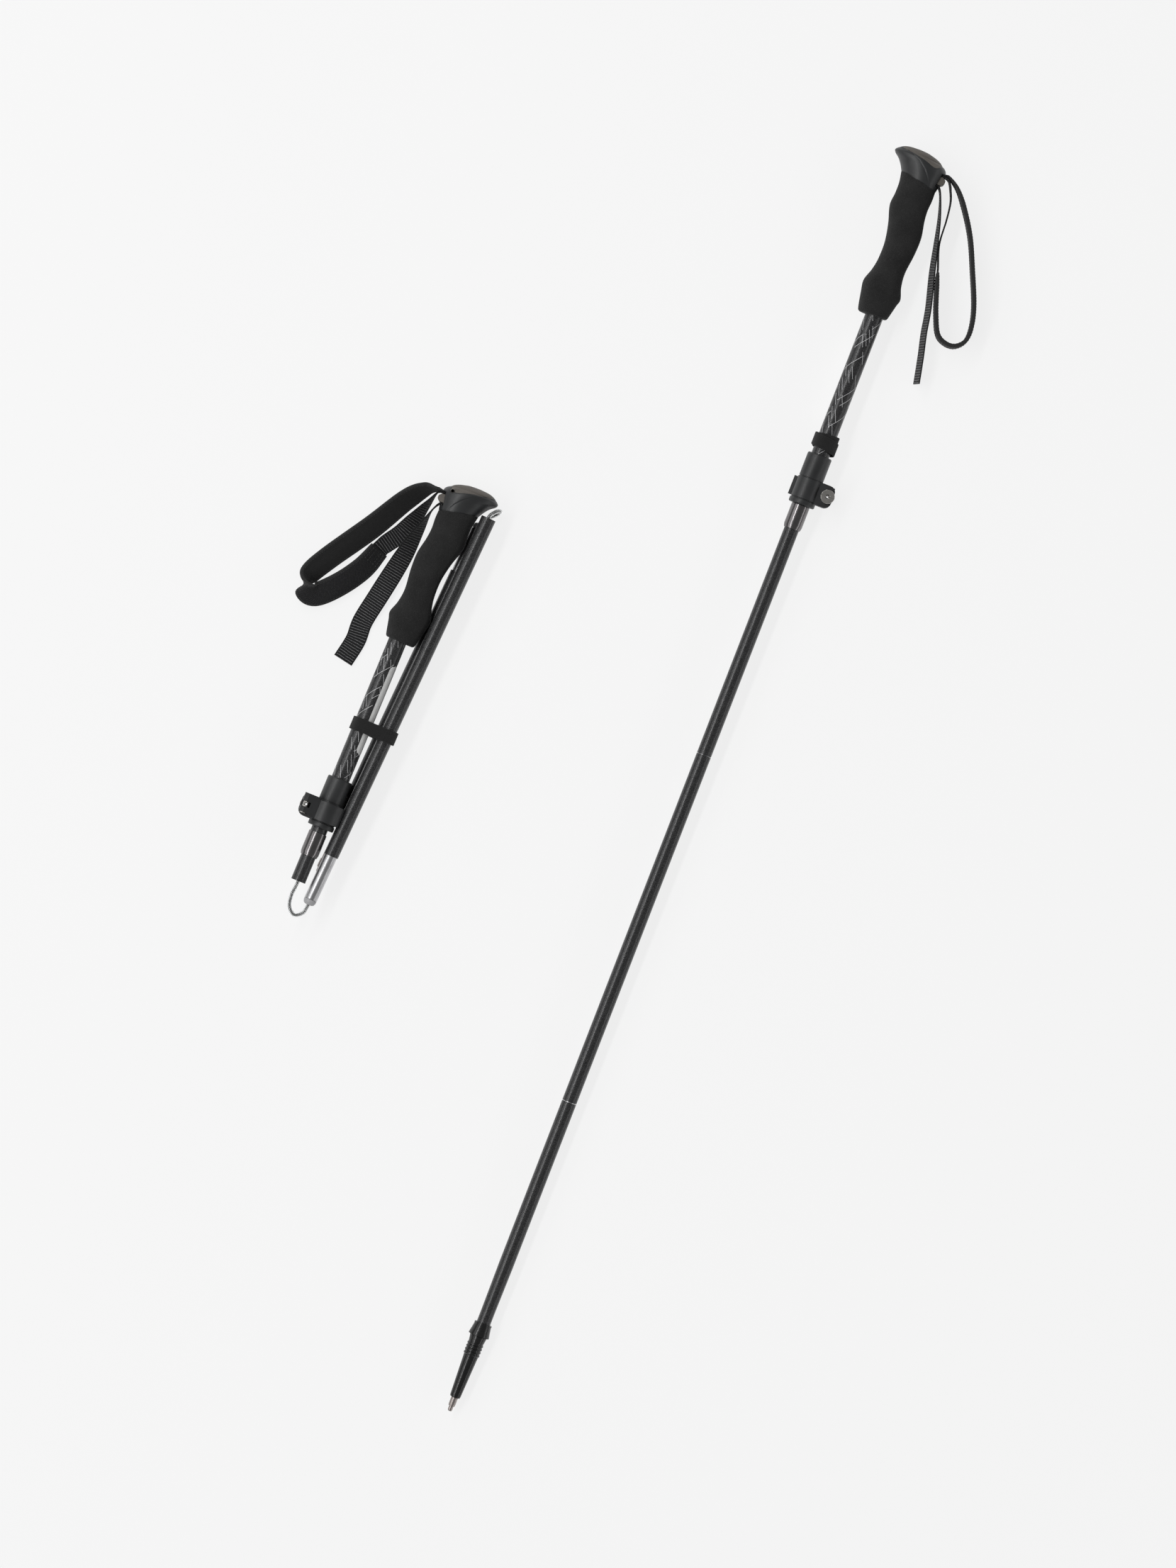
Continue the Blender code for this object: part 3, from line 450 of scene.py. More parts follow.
def make_materials():
    MATERIALS.update(
        head=moulded("head_hard_plastic", (0.026, 0.027, 0.028), 0.40, 1500.0, 0.12),
        top=moulded("top_pad_rubber", (0.125, 0.112, 0.098), 0.62, 900.0, 0.2),
        lock=moulded("lock_nylon", (0.024, 0.025, 0.026), 0.42, 1800.0, 0.15),
        tip=moulded("tip_gloss_plastic", (0.010, 0.010, 0.010), 0.24, 700.0, 0.08),
        nose=moulded("nose_grey_plastic", (0.42, 0.42, 0.43), 0.45, 1200.0, 0.1, 0.08),
        foam=foam_material(), tube=lacquer("tube_lacquer", 0.11).mat,
        printed=printed_lacquer(),
        steel=metal("nickel_plated_steel", (0.50, 0.485, 0.46), 0.32),
        gunmetal=metal("ferrule_gunmetal", (0.21, 0.20, 0.203), 0.20, 0.03),
        spigot=metal("spigot_aluminium", (0.56, 0.56, 0.57), 0.33, 0.04),
        carbide=metal("tip_carbide", (0.40, 0.36, 0.345), 0.34, 0.12),
        webbing=ribbed_webbing(), weave=pad_weave(),
        lining=fleece("pad_lining_fleece", (0.013, 0.013, 0.013), 1500.0, 0.8),
        felt=fleece("tie_strap_felt", (0.015, 0.015, 0.015), 1700.0, 0.9),
        binding=fleece("pad_binding_tape", (0.024, 0.024, 0.024), 2300.0, 0.6),
        stitch=fleece("stitch_thread", (0.045, 0.045, 0.045), 2600.0, 0.4),
        label=label_material(), sleeve=sleeve_material(), rope=rope_material(),
    )


# ---------------------------------------------------------------- mesh helpers

def link(name, mesh, materials, body, slot=None):
    obj = bpy.data.objects.new(name, mesh)
    bpy.context.scene.collection.objects.link(obj)
    for mat in materials:
        mesh.materials.append(MATERIALS[mat])
    if body:
        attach(obj, body)
    return obj


def shown(node, suffix, mesh, materials, slot, body, degrees):
    """Shaded mesh in place of a CAD node."""
    smooth(mesh, degrees)
    return stand_in(link(node + suffix, mesh, materials, None, slot), node, body)


def stand_in(obj, node, body):
    """Show obj in place of a CAD node, moving with that node's body."""
    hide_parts(node)
    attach(obj, body)
    return obj


def applied(obj):
    """Give an object the mesh that its modifiers make, and drop the modifiers."""
    bpy.context.view_layer.update()
    done = bpy.data.meshes.new_from_object(
        obj.evaluated_get(bpy.context.evaluated_depsgraph_get()))
    obj.modifiers.clear()
    obj.data = done
    return done


def cut_away(obj, cutters, degrees):
    """Take simple closed shapes out of an object, then shade it again."""
    for tool in cutters:
        cut = obj.modifiers.new("cut", "BOOLEAN")
        cut.object = tool
        cut.solver = "EXACT"
    smooth(applied(obj), degrees)
    for tool in cutters:
        bpy.data.objects.remove(tool)


def smooth(mesh, degrees):
    mesh.polygons.foreach_set("use_smooth", [True] * len(mesh.polygons))
    mesh.set_sharp_from_angle(angle=radians(degrees))


def spline(points, steps):
    """Points on a smooth curve through the given points."""
    pts = [Vector(p) for p in points]
    pts = [2 * pts[0] - pts[1], *pts, 2 * pts[-1] - pts[-2]]
    out = []
    for i in range(1, len(pts) - 2):
        a, b, c, d = pts[i - 1:i + 3]
        for s in range(steps):
            t = s / steps
            out.append(0.5 * ((2 * b) + (c - a) * t + (2 * a - 5 * b + 4 * c - d) * t * t
                              + (3 * b - a - 3 * c + d) * t ** 3))
    return [*out, pts[-2]]


def skin(rings, at, uvs=None, closed=False):
    """Mesh through vertex rings given in millimetres of frame at; uvs match the rings."""
    work = bmesh.new()
    rows = [[work.verts.new(at @ (Vector(v) * MM)) for v in ring] for ring in rings]
    layer = work.loops.layers.uv.new("UVMap")
    count = len(rings[0])
    spans = len(rings) if closed else len(rings) - 1
    for i in range(spans):
        for j in range(count):
            k = (j + 1) % count
            n = (i + 1) % len(rings)
            face = work.faces.new((rows[i][j], rows[i][k], rows[n][k], rows[n][j]))
            if uvs:
                for loop, (r, c) in zip(face.loops, ((i, j), (i, j + 1), (i + 1, j + 1),
                                                     (i + 1, j))):
                    loop[layer].uv = uvs(r, c)
    if not closed:
        work.faces.new(rows[0][::-1])
        work.faces.new(rows[-1])
    bmesh.ops.recalc_face_normals(work, faces=work.faces)
    mesh = bpy.data.meshes.new("skin")
    work.to_mesh(mesh)
    work.free()
    return mesh


def profile_of(node, at):
    """Half section of a turned CAD node as an ordered ring of (radius, height)."""
    work = bmesh.new()
    work.from_mesh(frame["nodes"][node].data)
    work.transform(at.inverted())
    bmesh.ops.remove_doubles(work, verts=work.verts, dist=2e-6)
    keep = {v for v in work.verts if abs(v.co.y) < 3e-5 and v.co.x > -3e-5}
    links = {v: [e.other_vert(v) for e in v.link_edges if e.other_vert(v) in keep]
             for v in keep}
    start = max(keep, key=lambda v: (v.co.z, -v.co.x))
    links = {v: [o for o in near if (o.co.xz - v.co.xz).length > 1e-5]
             for v, near in links.items()}
    path, last = [start], None
    while True:
        options = [o for o in links[path[-1]] if o is not last and o not in path[1:]]
        options = [o for o in options if not (o is start and len(path) < 3)]
        if not options or start in options and len(path) > 2:
            break
        ahead = min(options, key=lambda o: (o.co - path[-1].co).length)
        last = path[-1]
        path.append(ahead)
    points = [(max(0.0, v.co.x) / MM, v.co.z / MM) for v in path]
    work.free()
    return points


def soften(profile, radius):
    """Profile with each corner replaced by a small two-step round."""
    out = []
    count = len(profile)
    for i, point in enumerate(profile):
        here = Vector(point)
        before, after = Vector(profile[i - 1]), Vector(profile[(i + 1) % count])
        if here.x < 1e-3:
            out.append(here)
            continue
        a, b = before - here, after - here
        cut = min(radius, a.length * 0.3, b.length * 0.3)
        if a.length < 1e-4 or b.length < 1e-4 or a.normalized().dot(-b.normalized()) > 0.97:
            out.append(here)
            continue
        p, q = here + a.normalized() * cut, here + b.normalized() * cut
        out += [p, (p + q) / 2 * 0.5 + here * 0.5, q]
    return held([(p[0], p[1]) for p in out])


def held(profile, reach=0.2):
    """Profile with an extra point near each end of a long run, so it shades straight."""
    out = []
    for i, point in enumerate(profile):
        here, after = Vector(point), Vector(profile[(i + 1) % len(profile)])
        run = after - here
        out.append(point)
        if run.length > 3 * reach and max(here.x, after.x) > 1e-3:
            step = run.normalized() * reach
            out += [tuple(here + step), tuple(after - step)]
    return out


def respin(node, at, material, body, slot, segments, corner):
    """Smooth many-sided copy of a turned CAD node, standing in its place."""
    profile = soften(profile_of(node, at), corner)
    runs = [0.0]
    for i, (r, z) in enumerate(profile):
        r2, z2 = profile[(i + 1) % len(profile)]
        runs.append(runs[-1] + ((r2 - r) ** 2 + (z2 - z) ** 2) ** 0.5)
    widest = max(r for r, _ in profile)
    rings = [[(r * cos(2 * pi * j / segments), r * sin(2 * pi * j / segments), z)
              for j in range(segments)] for r, z in profile]
    mesh = skin(rings, at, closed=True,
                uvs=lambda i, j: (j / segments * 2 * pi * widest * MM, runs[i] * MM))
    work = bmesh.new()
    work.from_mesh(mesh)
    bmesh.ops.remove_doubles(work, verts=work.verts, dist=1e-6)
    bmesh.ops.dissolve_degenerate(work, edges=work.edges, dist=1e-7)
    bmesh.ops.recalc_face_normals(work, faces=work.faces)
    work.to_mesh(mesh)
    work.free()
    return shown(node, "_fine", mesh, [material], slot, body, 40)


def refined(node, material, slot, bevel, body, rounds=2):
    """Copy of a CAD node with merged faces, rounded edges and smooth shading."""
    mesh = frame["nodes"][node].data.copy()
    mesh.materials.clear()
    work = bmesh.new()
    work.from_mesh(mesh)
    bmesh.ops.remove_doubles(work, verts=work.verts, dist=1e-6)
    bmesh.ops.dissolve_limit(work, angle_limit=radians(1.5), verts=work.verts,
                             edges=work.edges)
    work.to_mesh(mesh)
    work.free()
    obj = link(node + "_fine", mesh, [material], None, slot)
    smooth(mesh, 28)
    edge = obj.modifiers.new("edge", "BEVEL")
    edge.width = bevel * MM
    edge.segments = rounds
    edge.limit_method = "ANGLE"
    edge.angle_limit = radians(28)
    edge.harden_normals = True
    add_box_uv(applied(obj))
    return stand_in(obj, node, body)


def rod(radius, low, high, at, sides=64):
    """Cutter: round bar along z."""
    rings = [[(radius * cos(2 * pi * j / sides), radius * sin(2 * pi * j / sides), z)
              for j in range(sides)] for z in (low, high)]
    return link("tool", skin(rings, at), [], None)


def box(low, high, at):
    """Cutter: block between two corners."""
    rings = [[(low[0], low[1], z), (high[0], low[1], z), (high[0], high[1], z),
              (low[0], high[1], z)] for z in (low[2], high[2])]
    return link("tool", skin(rings, at), [], None)


def plug(ring, share, lift):
    """Ring shrunk towards its own middle and lifted, to close a gap from inside."""
    middle = sum((Vector(v) for v in ring), Vector()) / len(ring)
    return [middle + (Vector(v) - middle) * share + Vector((0, 0, lift)) for v in ring]


def dent(distance, depth, width):
    """Depth of a soft groove at a distance from its middle."""
    return depth * exp(-((distance / width) ** 2))


def add_box_uv(mesh):
    """UV in metres from each face's own facing."""
    layer = mesh.uv_layers.get("UVMap") or mesh.uv_layers.new(name="UVMap")
    for face in mesh.polygons:
        n = face.normal
        drop = max(range(3), key=lambda i: abs(n[i]))
        keep = [i for i in range(3) if i != drop]
        for loop in face.loop_indices:
            co = mesh.vertices[mesh.loops[loop].vertex_index].co
            layer.data[loop].uv = (co[keep[0]], co[keep[1]])


def oval_rings(rows, steps, narrow, count):
    """Egg-shaped rings through rows of front point, back point and half width."""
    flat = spline([(*front, *back, half) for front, back, half in rows], steps)
    rings = []
    for fx, fz, bx, bz, half in flat:
        centre, reach = (fx + bx) / 2, (bx - fx) / 2
        rings.append([(centre + reach * cos(a), half * sin(a) * (1 + narrow * cos(a)),
                       fz + (bz - fz) * (1 + cos(a)) / 2)
                      for a in (2 * pi * j / count for j in range(count))])
    return rings


# ---------------------------------------------------------------- straps

def strap_lie(pre, z, over):
    """Shaft y of a point that lies over millimetres above the floor."""
    at = FRAMES[pre]
    up = at.to_3x3().col[1].z
    axis_height = (at @ Vector((0, 0, z * MM))).z / MM
    return (over - axis_height) / up


def resting_height(points, i, lean, half):
    """Height of a leaning strap's middle when its lower edge lies on the floor."""
    before, after = points[max(i - 1, 0)], points[min(i + 1, len(points) - 1)]
    ahead = Vector((after[0] - before[0], 0, after[1] - before[1])).normalized()
    side = (lean - ahead * lean.dot(ahead)).normalized()
    return half * abs(side.y) + 2.0 * abs(ahead.cross(side).y) + STRAP_LIFT


def strap_station(pre, points, level_points, near_end, half):
    """Centre points and width directions of a strap that rises to the head at an end."""
    folded = pre == "fold_"
    level = Vector((0, 1 if folded else -1, 0))
    lean = Vector((8.0, 12.0, 23.0)).normalized() if folded else level
    head = (FRAMES[pre] @ Vector((0, 0, HEAD_HEIGHT))).z / MM
    out, sides = [], []
    last = len(points) - 1
    for i, (x, z) in enumerate(points):
        a = min(1.0, max(0.0, 1 - (i - level_points + 1) / 2.5)) if level_points else 0.0
        b = max(0.0, 1 - (last - i) / 2.5) if near_end else 0.0
        rest = resting_height(points, i, lean, half)
        over = rest + (head - rest) * (a + b)
        out.append((x, strap_lie(pre, z, over), z))
        sides.append(level.lerp(lean, 1 - max(a, b)))
    return out, sides


def tail_station(pre):
    folded = pre == "fold_"
    level = Vector((0, 1 if folded else -1, 0))
    flat = Vector((1, 0, 0.25)) if folded else Vector((0.25, -1, 0))
    head = (FRAMES[pre] @ Vector((0, 0, HEAD_HEIGHT))).z / MM
    out, sides = [], []
    for i, (x, z) in enumerate(TAIL_ROUTE[pre]):
        share = min(1.0, i / 3)
        low = (1.6 if i > 3 else 5.5) if folded else 10.6
        out.append((x, strap_lie(pre, z, head + (low - head) * share), z))
        sides.append(level.lerp(flat, share).normalized())
    return out, sides


def strap_frames(path, across, steps):
    """Point, width direction, normal and run length along a strap, in millimetres."""
    line, sides = spline(path, steps), spline(across, steps)
    run, out = 0.0, []
    for i, point in enumerate(line):
        ahead = (line[min(i + 1, len(line) - 1)] - line[max(i - 1, 0)]).normalized()
        side = (sides[i] - ahead * sides[i].dot(ahead)).normalized()
        if i:
            run += (point - line[i - 1]).length
        out.append((point, side, ahead.cross(side), run))
    return out


def strap_skin(stations, half_width, half_thick, section, at):
    """Sweep a strap section; section gives (across, through) from -1 to 1."""
    rings = []
    for i, (point, side, normal, _) in enumerate(stations):
        w, t = half_width(i), half_thick(i)
        rings.append([point + side * a * w + normal * b * t for a, b in section])
    wide = half_width(len(stations) // 2)
    count = len(section)
    return skin(rings, at, uvs=lambda i, j: (section[j % count][0] * wide * MM,
                                             stations[i][3] * MM))


def rounded_band(across=12, edge=4, squeeze=0.08):
    """Flat section with round edges, walked once round."""
    top = [(-1 + squeeze + (2 - 2 * squeeze) * i / across, 1.0) for i in range(across + 1)]
    right = [(1 - squeeze + squeeze * sin(pi * i / edge), cos(pi * i / edge))
             for i in range(1, edge)]
    return top + right + [(-x, -y) for x, y in top] + [(-x, -y) for x, y in right]


def stitch_tree():
    """Short threads set end to end along a curve."""
    tree = bpy.data.node_groups.new("stitch_row", "GeometryNodeTree")
    new = tree.interface.new_socket
    new("Geometry", in_out="INPUT", socket_type="NodeSocketGeometry")
    for label, default in (("Pitch", 0.0028), ("Length", 0.0019), ("Radius", 0.00022)):
        new(label, in_out="INPUT", socket_type="NodeSocketFloat").default_value = default
    new("Geometry", in_out="OUTPUT", socket_type="NodeSocketGeometry")
    start, points, thread, align, place, real, paint, end = (
        tree.nodes.new(kind) for kind in (
            "NodeGroupInput", "GeometryNodeCurveToPoints", "GeometryNodeMeshCylinder",
            "FunctionNodeAlignEulerToVector", "GeometryNodeInstanceOnPoints",
            "GeometryNodeRealizeInstances", "GeometryNodeSetMaterial", "NodeGroupOutput"))
    points.mode = "LENGTH"
    align.axis = "Z"
    thread.inputs["Vertices"].default_value = 6
    paint.inputs["Material"].default_value = MATERIALS["stitch"]
    for source, output, target, entry in (
            (start, "Geometry", points, "Curve"), (start, "Pitch", points, "Length"),
            (start, "Length", thread, "Depth"), (start, "Radius", thread, "Radius"),
            (points, "Points", place, "Points"), (thread, "Mesh", place, "Instance"),
            (points, "Tangent", align, "Vector"), (align, "Rotation", place, "Rotation"),
            (place, "Instances", real, "Geometry"), (real, "Geometry", paint, "Geometry"),
            (paint, "Geometry", end, "Geometry")):
        tree.links.new(source.outputs[output], target.inputs[entry])
    return tree


def stitches(name, lines, body, slot, pitch):
    """Rows of thread along world-space lines, turned into one plain mesh."""
    curve = bpy.data.curves.new(name, "CURVE")
    curve.dimensions = "3D"
    for line in lines:
        row = curve.splines.new("POLY")
        row.points.add(len(line) - 1)
        for point, co in zip(row.points, line):
            point.co = (*co, 1.0)
    guide = bpy.data.objects.new(name + "_guide", curve)
    bpy.context.scene.collection.objects.link(guide)
    rows = guide.modifiers.new("rows", "NODES")
    rows.node_group = bpy.data.node_groups.get("stitch_row") or stitch_tree()
    wanted = {"Pitch": pitch, "Length": 0.0019, "Radius": 0.00022}
    for item in rows.node_group.interface.items_tree:
        if item.in_out == "INPUT" and item.name in wanted:
            rows[item.identifier] = wanted[item.name]
    bpy.context.view_layer.update()
    mesh = bpy.data.meshes.new_from_object(
        guide.evaluated_get(bpy.context.evaluated_depsgraph_get()))
    bpy.data.objects.remove(guide)
    return link(name, mesh, [], body, slot)


# ---------------------------------------------------------------- operators

class PoleFinish(bpy.types.PropertyGroup):
    """Sizes that change how the poles are finished."""
    round_sides: bpy.props.IntProperty(
        name="Round sides", description="Sides of each turned piece", default=64, min=24,
        max=128)
    corner: bpy.props.FloatProperty(
        name="Corner", description="Round on turned corners, in millimetres", default=0.15,
        min=0.02, max=0.5)
    stitch_pitch: bpy.props.FloatProperty(
        name="Stitch pitch", description="Distance between stitches", default=0.0028,
        min=0.001, max=0.01, unit="LENGTH")
    floor_colour: bpy.props.FloatVectorProperty(
        name="Floor", description="Colour of the plain ground", subtype="COLOR", size=3,
        default=(0.14, 0.14, 0.14), min=0.0, max=1.0)
    floor_glow: bpy.props.FloatProperty(
        name="Floor glow", description="How brightly the light table under the poles shines",
        default=0.815, min=0.0, max=2.0)


class PoleOperator(bpy.types.Operator):
    bl_options = {"REGISTER", "UNDO"}

    @property
    def sizes(self):
        return bpy.context.scene.pole_finish

    def execute(self, context):
        for pre in POLES:
            self.build(pre)
        return {"FINISHED"}


class POLES_OT_tubes(PoleOperator):
    """Lacquered tubes, ferrules, spigots and noses, each re-turned with fine sides"""
    bl_idname = "poles.tubes"
    bl_label = "Tubes"

    def build(self, pre):
        for part, at, material, slot in section_turns(pre):
            respin(pre + part, at, material, body_name(pre, part), slot,
                   self.sizes.round_sides, self.sizes.corner)


def section_turns(pre):
    """Turned pieces of one pole with the frame, finish and slot of each."""
    at, middle, lower = FRAMES[pre], MIDDLE[pre], LOWER[pre]
    yield "upper_tube", at, "printed", "tube_black"
    yield "adjuster_tube", at, "tube", "tube_black"
    yield "ferrule", at, "gunmetal", "gunmetal"
    yield "inner_tube", at, "tube", "tube_black"
    for part, spot in (("middle", middle), ("lower", lower)):
        yield part + "_tube", spot, "tube", "tube_black"
        yield part + "_spigot", spot, "spigot", "spigot_aluminium"
        yield part + "_nose", spot, "nose", "nose_plastic"
    for part, finish in (("basket_collar", "tip_plastic"), ("tip_body", "tip_plastic"),
                         ("tip_holder", "carbide"), ("carbide_tip", "carbide")):
        yield part, lower, finish.split("_")[0], finish


class POLES_OT_locks(PoleOperator):
    """Lever locks with their collars, pins, screws and slotted dial nuts"""
    bl_idname = "poles.locks"
    bl_label = "Lever locks"

    def build(self, pre):
        for part, material, slot, bevel, rounds in (
                ("lock_collar", "lock", "lock_plastic", 0.3, 2),
                ("lock_lever", "lock", "lock_plastic", 1.1, 4),
                ("barrel_pin", "steel", "steel", 0.1, 2)):
            refined(pre + part, material, slot, bevel, body_name(pre, part), rounds)
        cross = FRAMES[pre] @ axes_to_frame(
            Vector((LEVER_AXIS[0], 0, LOCK_HEIGHT)), (0, 1, 0), (0, 0, 1))
        respin(pre + "clamp_screw", cross, "steel", body_name(pre, "clamp_screw"),
               "steel", 32, 0.1)
        self.dial_nut(pre, cross)

    def dial_nut(self, pre, cross):
        """Round nut with a toothed rim and a screwdriver slot across its outer face."""
        obj = respin(pre + "dial_nut", cross, "steel", body_name(pre, "dial_nut"),
                     "steel", NUT_TEETH, 0.3)
        back = cross.inverted()
        for vert in obj.data.vertices:
            spot = back @ vert.co
            turn = Vector((spot.x, spot.y)).angle_signed(Vector((1, 0)))
            if spot.xy.length > NUT_RIM * MM and round(turn * NUT_TEETH / (2 * pi)) % 2:
                spot.xy *= TOOTH_DEPTH
                vert.co = cross @ spot
        cut_away(obj, [box((-0.7, -9, -12.0), (0.7, 9, -10.3), cross)], 35)


class POLES_OT_grips(PoleOperator):
    """Head, ribbed top pad, cross pin, wedge and foam of each grip"""
    bl_idname = "poles.grips"
    bl_label = "Grips"

    def build(self, pre):
        at = FRAMES[pre]
        body = body_name(pre, "grip_head")
        across = at @ axes_to_frame(Vector((PIN_AT[0], 0, PIN_AT[1])) * MM,
                                    (0, 1, 0), (0, 0, 1))
        self.head(pre, at, across, body)
        self.top_pad(pre, at, body)
        self.foam(pre, at, body)
        respin(pre + "strap_pin", across, "steel", body, "steel", 32, 0.3)
        refined(pre + "strap_wedge", "top", "head_plastic", 0.6, body)

    def head(self, pre, at, across, body):
        rings = [[self.press_lines(*v) for v in ring]
                 for ring in oval_rings(HEAD_ROWS, 14, 0.12, 240)]
        rings = [plug(rings[0], 0.96, -0.8), plug(rings[0], 0.96, 0.0), *rings,
                 plug(rings[-1], 0.955, 0.0), plug(rings[-1], 0.955, 0.8)]
        obj = link(pre + "grip_head_fine", skin(rings, at), ["head", "top"], None,
                   "head_plastic")
        x0, z0, z1, half = POCKET
        cut_away(obj, [box((x0, -half, z0), (30, half, z1), at),
                       rod(PIN_BORE, PIN_BLIND_END, 30, across, 32),
                       rod(TUBE_BORE, 300, 331.5, at)], 40)
        back = at.inverted()
        lines = [np.array(RUBBER_LINE)[:, k] for k in (0, 1)]
        for face in obj.data.polygons:
            x, y, z = (back @ face.center) / MM
            rubber = RUBBER_FRONT < x < 9.5 and z > np.interp(x, *lines) and abs(y) > 2.0
            face.material_index = 1 if rubber else 0
        stand_in(obj, pre + "grip_head", body)

    def press_lines(self, x, y, z):
        """Press the panel edge and the rubber's edge into the side of the head."""
        panel = np.array(PANEL_LINE)
        rubber = np.array(RUBBER_LINE)
        behind = x - np.interp(z, panel[:, 1], panel[:, 0])
        over = z - np.interp(x, rubber[:, 0], rubber[:, 1])
        step = 0.45 / (1 + exp(-behind / 0.25))
        inward = dent(behind, 0.3, 0.5) + dent(over, 0.5, 0.5) - step
        keep = max(0.0, 1 - inward / max(abs(y), 6.0))
        return x, y * keep, z

    def top_pad(self, pre, at, body):
        """Rubber cap on the head, with fine ribs moulded along it."""
        rings = oval_rings(TOP_ROWS, 14, 0.12, 192)
        shaped = []
        for i, ring in enumerate(rings):
            share = min(1.0, i / 8) * min(1.0, (len(rings) - 1 - i) / 3)
            shaped.append([(x, y, z - share * 0.16 * (0.5 + 0.5 * cos(y * 2 * pi / 1.3)))
                           for x, y, z in ring])
        obj = link(pre + "top_pad_fine", skin(shaped, at), ["top", "head"], None,
                   "pad_plastic")
        smooth(obj.data, 50)
        back = at.inverted()
        for face in obj.data.polygons:
            if (back @ face.center).x / MM < RUBBER_FRONT:
                face.material_index = 1
        stand_in(obj, pre + "top_pad", body)

    def foam(self, pre, at, body):
        rings = oval_rings(FOAM_ROWS, 8, 0.05, 96)
        obj = link(pre + "foam_grip_fine", skin(rings, at), ["foam"], None, "foam")
        cut_away(obj, [rod(TUBE_BORE, 190, 262, at),
                       rod(COLLAR_BORE, COLLAR_FOOT, 345, at)], 40)
        stand_in(obj, pre + "foam_grip", body)


class POLES_OT_wrist_straps(PoleOperator):
    """Padded hand loops with lining, binding and stitches, and the ribbed webbing"""
    bl_idname = "poles.wrist_straps"
    bl_label = "Wrist straps"

    def build(self, pre):
        body = body_name(pre, "wrist_pad")
        self.pad(pre, body)
        self.webbing(pre, body)

    def pad(self, pre, body):
        at = FRAMES[pre]
        path, sides = strap_station(pre, PAD_ROUTE[pre], 2, False, PAD_HALF_WIDTH)
        stations = strap_frames(path, sides, 10)
        total = stations[-1][3]

        def half_width(i):
            run = stations[i][3]
            near = min(1.0, run / 22) ** 0.7
            far = min(1.0, (total - run) / 14) ** 0.7
            return 10.6 + 2.0 * min(near, 0.4 + far * 0.6)

        def half_thick(i):
            run = stations[i][3]
            return 0.55 + 1.35 * min(1.0, run / 34, 0.5 + (total - run) / 26)

        mesh = strap_skin(stations, half_width, half_thick, rounded_band(14, 6, 0.12), at)
        obj = shown(pre + "wrist_pad", "_core", mesh, ["weave", "lining", "binding"],
                    "pad_fabric", body, 60)
        self.paint_sides(obj, stations, at)
        rows = []
        for edge in (-1, 1):
            for face in (-1, 1):
                rows.append([at @ ((p + s * edge * (half_width(i) - 2.3)
                                    + n * face * (half_thick(i) + 0.02)) * MM)
                             for i, (p, s, n, _) in enumerate(stations)][8:-2])
                seam = [i for i, s in enumerate(stations) if 2.0 < total - s[3] < 15.0]
                for share in (0.3, 0.62):
                    rows.append([self.on_face(at, stations[i], share * edge * half_width(i),
                                              face * (half_thick(i) + 0.05)) for i in seam])
                for i in (seam[0], seam[-1]):
                    rows.append([self.on_face(at, stations[i], k * 0.8 * edge,
                                              face * (half_thick(i) + 0.05))
                                 for k in range(10)])
        stitches(pre + "wrist_pad_stitches", rows, body, "pad_fabric",
                 self.sizes.stitch_pitch)

    def on_face(self, at, station, across, through):
        point, side, normal, _ = station
        return at @ ((point + side * across + normal * through) * MM)

    def paint_sides(self, obj, stations, at):
        """Lining faces the inside of the loop, binding runs along both edges."""
        centre = at @ (sum((s[0] for s in stations), Vector()) / len(stations) * MM)
        side = at.to_3x3() @ stations[len(stations) // 2][1]
        layer = obj.data.uv_layers["UVMap"]
        for face in obj.data.polygons:
            u = sum(layer.data[i].uv.x for i in face.loop_indices) / face.loop_total
            away = face.center - centre
            away = away - side * away.dot(side)
            if abs(u) > BINDING_EDGE:
                face.material_index = 2
            elif face.normal.dot(away) < 0:
                face.material_index = 1

    def webbing(self, pre, body):
        at = FRAMES[pre]
        route = PAD_ROUTE[pre][-2:] + WEB_ROUTE[pre]
        path, sides = strap_station(pre, route, 0, True, 12.0)
        level = Vector((0, 1 if pre == "fold_" else -1, 0))
        path += [(x, 0.0, z) for x, z in SLOT_ROUTE]
        sides += [level] * len(SLOT_ROUTE)
        more, turns = tail_station(pre)
        stations = strap_frames(path + more, sides + turns, 8)
        mesh = strap_skin(stations, lambda i: WEB_HALF_WIDTH, lambda i: WEB_HALF_THICK,
                          rounded_band(10, 4, 0.05), at)
        shown(pre + "wrist_webbing", "_fine", mesh, ["webbing"], "webbing", body, 60)


